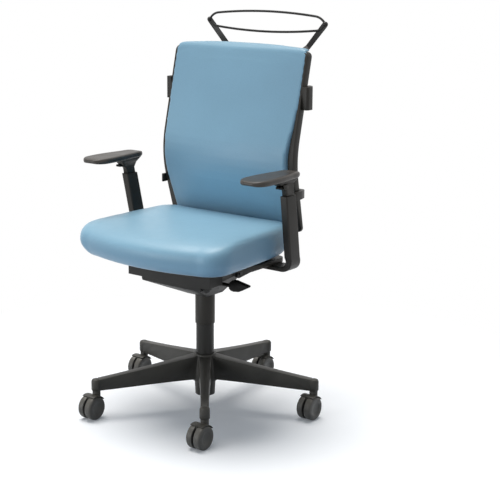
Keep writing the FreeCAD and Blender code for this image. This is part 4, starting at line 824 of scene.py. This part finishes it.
# Fasteners
def islands(node):
    """Low and high corner of each separate solid of a node."""
    obj = node_copy(node, f"{node}_parts", flatten=False)
    work = bmesh.new()
    work.from_mesh(obj.data)
    left = set(work.verts)
    boxes = []
    while left:
        front = [left.pop()]
        found = list(front)
        while front:
            near = {edge.other_vert(vert) for vert in front for edge in vert.link_edges}
            front = list(near & left)
            left.difference_update(front)
            found += front
        points = np.array([vert.co[:] for vert in found])
        boxes.append((points.min(axis=0), points.max(axis=0)))
    work.free()
    mesh = obj.data
    bpy.data.objects.remove(obj)
    bpy.data.meshes.remove(mesh)
    return sorted(boxes, key=lambda box: tuple(np.round(box[0], SORT_DIGITS)))


def add_sockets(tree):
    """What the screws' node tree is given and what it hands back."""
    kinds = {
        "Points": "Geometry",
        "Head Radius": "Float",
        "Head Height": "Float",
        "Socket Radius": "Float",
        "Shank Radius": "Float",
        "Shank Length": "Float",
        "Turn": "Vector",
        "Seed": "Int",
        "Finish": "Material",
    }
    for name, kind in kinds.items():
        tree.interface.new_socket(name, in_out="INPUT", socket_type=f"NodeSocket{kind}")
    tree.interface.new_socket("Screws", in_out="OUTPUT", socket_type="NodeSocketGeometry")


def screw_shape(tree, given):
    """Socket head screw: its head above the point it is set on, its shank below."""

    def scaled(value, share):
        return combine(tree, "MULTIPLY", value, share)

    def moved(geometry, height):
        place = add_node(tree, "ShaderNodeCombineXYZ", {"Z": height}).outputs["Vector"]
        inputs = {"Geometry": geometry, "Translation": place}
        return add_node(tree, "GeometryNodeTransform", inputs).outputs["Geometry"]

    def cylinder(sides, radius, depth):
        inputs = {"Vertices": sides, "Radius": radius, "Depth": depth}
        return add_node(tree, "GeometryNodeMeshCylinder", inputs).outputs["Mesh"]

    wide, tall, long = given["Head Radius"], given["Head Height"], given["Shank Length"]
    straight = cylinder(HEAD_SIDES, wide, scaled(tall, STRAIGHT_SHARE))
    body = moved(straight, scaled(tall, STRAIGHT_SHARE / 2))
    cone = {
        "Vertices": HEAD_SIDES,
        "Radius Top": scaled(wide, TOP_RADIUS_SHARE),
        "Radius Bottom": wide,
        "Depth": scaled(tall, 1 - STRAIGHT_SHARE),
    }
    top = add_node(tree, "GeometryNodeMeshCone", cone).outputs["Mesh"]
    crown = moved(top, scaled(tall, STRAIGHT_SHARE))
    recess = moved(cylinder(SOCKET_SIDES, given["Socket Radius"], tall), scaled(tall, SOCKET_MIDDLE_SHARE))
    head = add_node(tree, "GeometryNodeMeshBoolean", operation="DIFFERENCE")
    solid = add_node(tree, "GeometryNodeMeshBoolean", operation="UNION")
    for part in (body, crown):
        tree.links.new(part, solid.inputs["Mesh 2"])
    set_inputs(tree, head, {"Mesh 1": solid.outputs["Mesh"], "Mesh 2": recess})
    shank = moved(cylinder(SHANK_SIDES, given["Shank Radius"], long), scaled(long, -0.5))
    screw = add_node(tree, "GeometryNodeJoinGeometry")
    for part in (shank, head.outputs["Mesh"]):
        tree.links.new(part, screw.inputs["Geometry"])
    return screw.outputs["Geometry"]


def fastener_tree():
    """Node tree that sets a socket head screw on every point it is given."""
    tree = bpy.data.node_groups.new("socket_head_screws", "GeometryNodeTree")
    add_sockets(tree)
    given = tree.nodes.new("NodeGroupInput").outputs
    spots = {"Points": given["Points"], "Instance": screw_shape(tree, given), "Rotation": given["Turn"]}
    placed = add_node(tree, "GeometryNodeInstanceOnPoints", spots).outputs["Instances"]
    spin = add_node(tree, "FunctionNodeRandomValue", {"Min": 0.0, "Max": math.tau, "Seed": given["Seed"]})
    turned = add_node(tree, "ShaderNodeCombineXYZ", {"Z": spin.outputs[RANDOM_NUMBER]}).outputs["Vector"]
    turns = {"Instances": placed, "Rotation": turned}
    spun = add_node(tree, "GeometryNodeRotateInstances", turns).outputs["Instances"]
    real = add_node(tree, "GeometryNodeRealizeInstances", {"Geometry": spun}).outputs["Geometry"]
    dressed = add_node(tree, "GeometryNodeSetMaterial", {"Geometry": real, "Material": given["Finish"]})
    add_node(tree, "NodeGroupOutput", {"Screws": dressed.outputs["Geometry"]})
    return tree


class CHAIR_OT_fasteners(bpy.types.Operator):
    """Socket head screws under the seat, under the arms and behind the back"""

    bl_idname = "chair.fasteners"
    bl_label = "Fasteners"

    def execute(self, context):
        tree = fastener_tree()
        for node, axis, way, shank in SCREWS:
            self.add_screws(node, tree, context.scene.chair_finish, axis, way, shank)
        return {"FINISHED"}

    @staticmethod
    def add_screws(node, tree, finish, axis, way, shank):
        """Screws in place of a node's own; their heads look along an axis, one way or the other."""
        head = finish.head_height
        boxes = islands(node)
        seats = []
        for low, high in boxes:
            seat = (low + high) / 2
            seat[axis] = (high if way > 0 else low)[axis] - way * head
            seats.append(seat.tolist())
        low, high = boxes[0]
        values = {
            "Head Radius": (high - low)[(axis + 1) % 3] / 2,
            "Head Height": head,
            "Socket Radius": shank,
            "Shank Radius": shank,
            "Shank Length": (high - low)[axis] - head,
            "Turn": (math.pi, 0, 0) if axis == UP else (-math.pi / 2, 0, 0),
            "Seed": finish.seed,
            "Finish": screw_finish(finish),
        }
        mesh = bpy.data.meshes.new(f"{node}_seats")
        mesh.from_pydata(seats, [], [])
        obj = link(f"{node}_socket_heads", mesh)
        modifier = obj.modifiers.new("screws", "NODES")
        modifier.node_group = tree
        for item in tree.interface.items_tree:
            if item.name in values:
                modifier[item.identifier] = values[item.name]
        settle(obj)
        smooth(obj, SCREW_CRISP_ANGLE)
        dress(obj, node)


# Stage
def seen_or_mirrored(tree):
    """1 for rays seen straight, mirrored or through glass; 0 for light that only spreads."""
    path = add_node(tree, "ShaderNodeLightPath").outputs
    seen = combine(tree, "MAXIMUM", path["Is Camera Ray"], path["Is Glossy Ray"])
    return combine(tree, "MAXIMUM", seen, path["Is Transmission Ray"])


def floor_material(stage):
    """Pale floor that takes the shadow and fades into the white round it."""
    material, tree, shader = new_material("studio_floor")
    where = add_node(tree, "ShaderNodeTexCoord").outputs["Object"]
    distance = add_node(tree, "ShaderNodeVectorMath", {0: where}, operation="LENGTH").outputs["Value"]
    far = spread(tree, distance, 0.0, 1.0, stage.fade_start, stage.fade_end)
    scuffs = object_noise(tree, width=0.25, detail=3.0)
    tone = two_tones(tree, scuffs, stage.floor, dark=0.99, light=1.01)
    seen = seen_or_mirrored(tree)
    surface = {
        "Base Color": mix_colours(tree, seen, (*stage.bounce, 1.0), tone),
        "Roughness": 0.7,
        "Specular IOR Level": 0.2,
        "Emission Color": (*stage.glow_colour, 1.0),
        "Emission Strength": spread(tree, seen, 0.0, stage.glow),
    }
    set_inputs(tree, shader, surface)
    white = add_node(tree, "ShaderNodeEmission", {"Strength": 1.0}).outputs["Emission"]
    fade = {0: combine(tree, "MULTIPLY", seen, far), 1: shader.outputs["BSDF"], 2: white}
    mixed = add_node(tree, "ShaderNodeMixShader", fade).outputs["Shader"]
    set_inputs(tree, tree.nodes["Material Output"], {"Surface": mixed})
    return material


def turned_to(direction):
    """Turn of a lamp or camera that looks this way."""
    return direction.to_track_quat("-Z", "Y").to_euler()


def add_lamp(name, kind, place, target, **settings):
    """Lamp at a place that shines at a target."""
    lamp = bpy.data.lights.new(name, kind)
    for setting, value in settings.items():
        setattr(lamp, setting, value)
    obj = link(name, lamp)
    obj.location = place
    obj.rotation_euler = turned_to(target - obj.location)


class CHAIR_OT_stage(bpy.types.Operator):
    """Floor, lamps, white surround and the camera"""

    bl_idname = "chair.stage"
    bl_label = "Stage"

    def execute(self, context):
        stage = context.scene.chair_stage
        target = Vector((0, 0, stage.aim))
        self.add_floor(stage)
        self.add_lamps(stage, target)
        self.add_surround(context.scene, stage)
        self.add_camera(context.scene, stage, target)
        context.scene.view_settings.view_transform = "Standard"
        return {"FINISHED"}

    @staticmethod
    def add_floor(stage):
        half = stage.floor_half
        mesh = bpy.data.meshes.new("floor")
        corners = [(-half, -half, 0), (half, -half, 0), (half, half, 0), (-half, half, 0)]
        mesh.from_pydata(corners, [], [(0, 1, 2, 3)])
        mesh.materials.append(floor_material(stage))
        link("floor", mesh)

    @staticmethod
    def add_lamps(stage, target):
        key = {"energy": stage.key, "angle": stage.key_spread, "color": stage.key_colour}
        add_lamp("overhead", "SUN", stage.key_from, Vector((0, 0, 0)), **key)
        fill = {"shape": "DISK", "size": stage.fill_size, "energy": stage.fill, "color": stage.fill_colour}
        add_lamp("front", "AREA", stage.fill_from, target, **fill)

    @staticmethod
    def add_surround(scene, stage):
        world = bpy.data.worlds.new("surround")
        world.use_nodes = True
        scene.world = world
        tree = world.node_tree
        shown = seen_or_mirrored(tree)
        light = {
            "Color": mix_colours(tree, shown, (*stage.sky, 1.0), WHITE),
            "Strength": spread(tree, shown, stage.ambient, 1.0),
        }
        set_inputs(tree, tree.nodes["Background"], light)

    @staticmethod
    def add_camera(scene, stage, target):
        data = bpy.data.cameras.new("photo_view")
        data.lens = stage.lens
        data.sensor_width = SENSOR_WIDTH
        data.shift_x, data.shift_y = stage.shift
        camera = link("photo_view", data)
        level = math.cos(stage.elevation)
        outward = Vector(
            (math.sin(stage.azimuth) * level, -math.cos(stage.azimuth) * level, math.sin(stage.elevation))
        )
        camera.location = target + outward * stage.distance
        camera.rotation_euler = turned_to(-outward)
        scene.camera = camera


PIECE_OPERATORS = (
    CHAIR_OT_stage,
    CHAIR_OT_seat_cushion,
    CHAIR_OT_back_cushion,
    CHAIR_OT_arm_pads,
    CHAIR_OT_moulded_parts,
    CHAIR_OT_castings,
    CHAIR_OT_wheels,
    CHAIR_OT_fasteners,
    CHAIR_OT_steel_parts,
)


class CHAIR_PT_build(bpy.types.Panel):
    """The stage and the chair's pieces, in the order they are made"""

    bl_idname = "CHAIR_PT_build"
    bl_label = "Office Chair"
    bl_space_type = "VIEW_3D"
    bl_region_type = "UI"
    bl_category = "Chair"

    def draw(self, context):
        for operator in PIECE_OPERATORS:
            self.layout.operator(operator.bl_idname)


GROUPS = {"chair_finish": ChairFinish, "chair_cushions": ChairCushions, "chair_stage": ChairStage}


def register():
    for group in GROUPS.values():
        bpy.utils.register_class(group)
    for name, group in GROUPS.items():
        setattr(bpy.types.Scene, name, PointerProperty(type=group))
    for operator in PIECE_OPERATORS:
        bpy.utils.register_class(operator)
    bpy.utils.register_class(CHAIR_PT_build)


def unregister():
    bpy.utils.unregister_class(CHAIR_PT_build)
    for operator in reversed(PIECE_OPERATORS):
        bpy.utils.unregister_class(operator)
    for name, group in GROUPS.items():
        delattr(bpy.types.Scene, name)
        bpy.utils.unregister_class(group)


def main():
    register()
    for operator in PIECE_OPERATORS:
        family, name = operator.bl_idname.split(".")
        getattr(getattr(bpy.ops, family), name)()


if __name__ == "__main__":
    main()
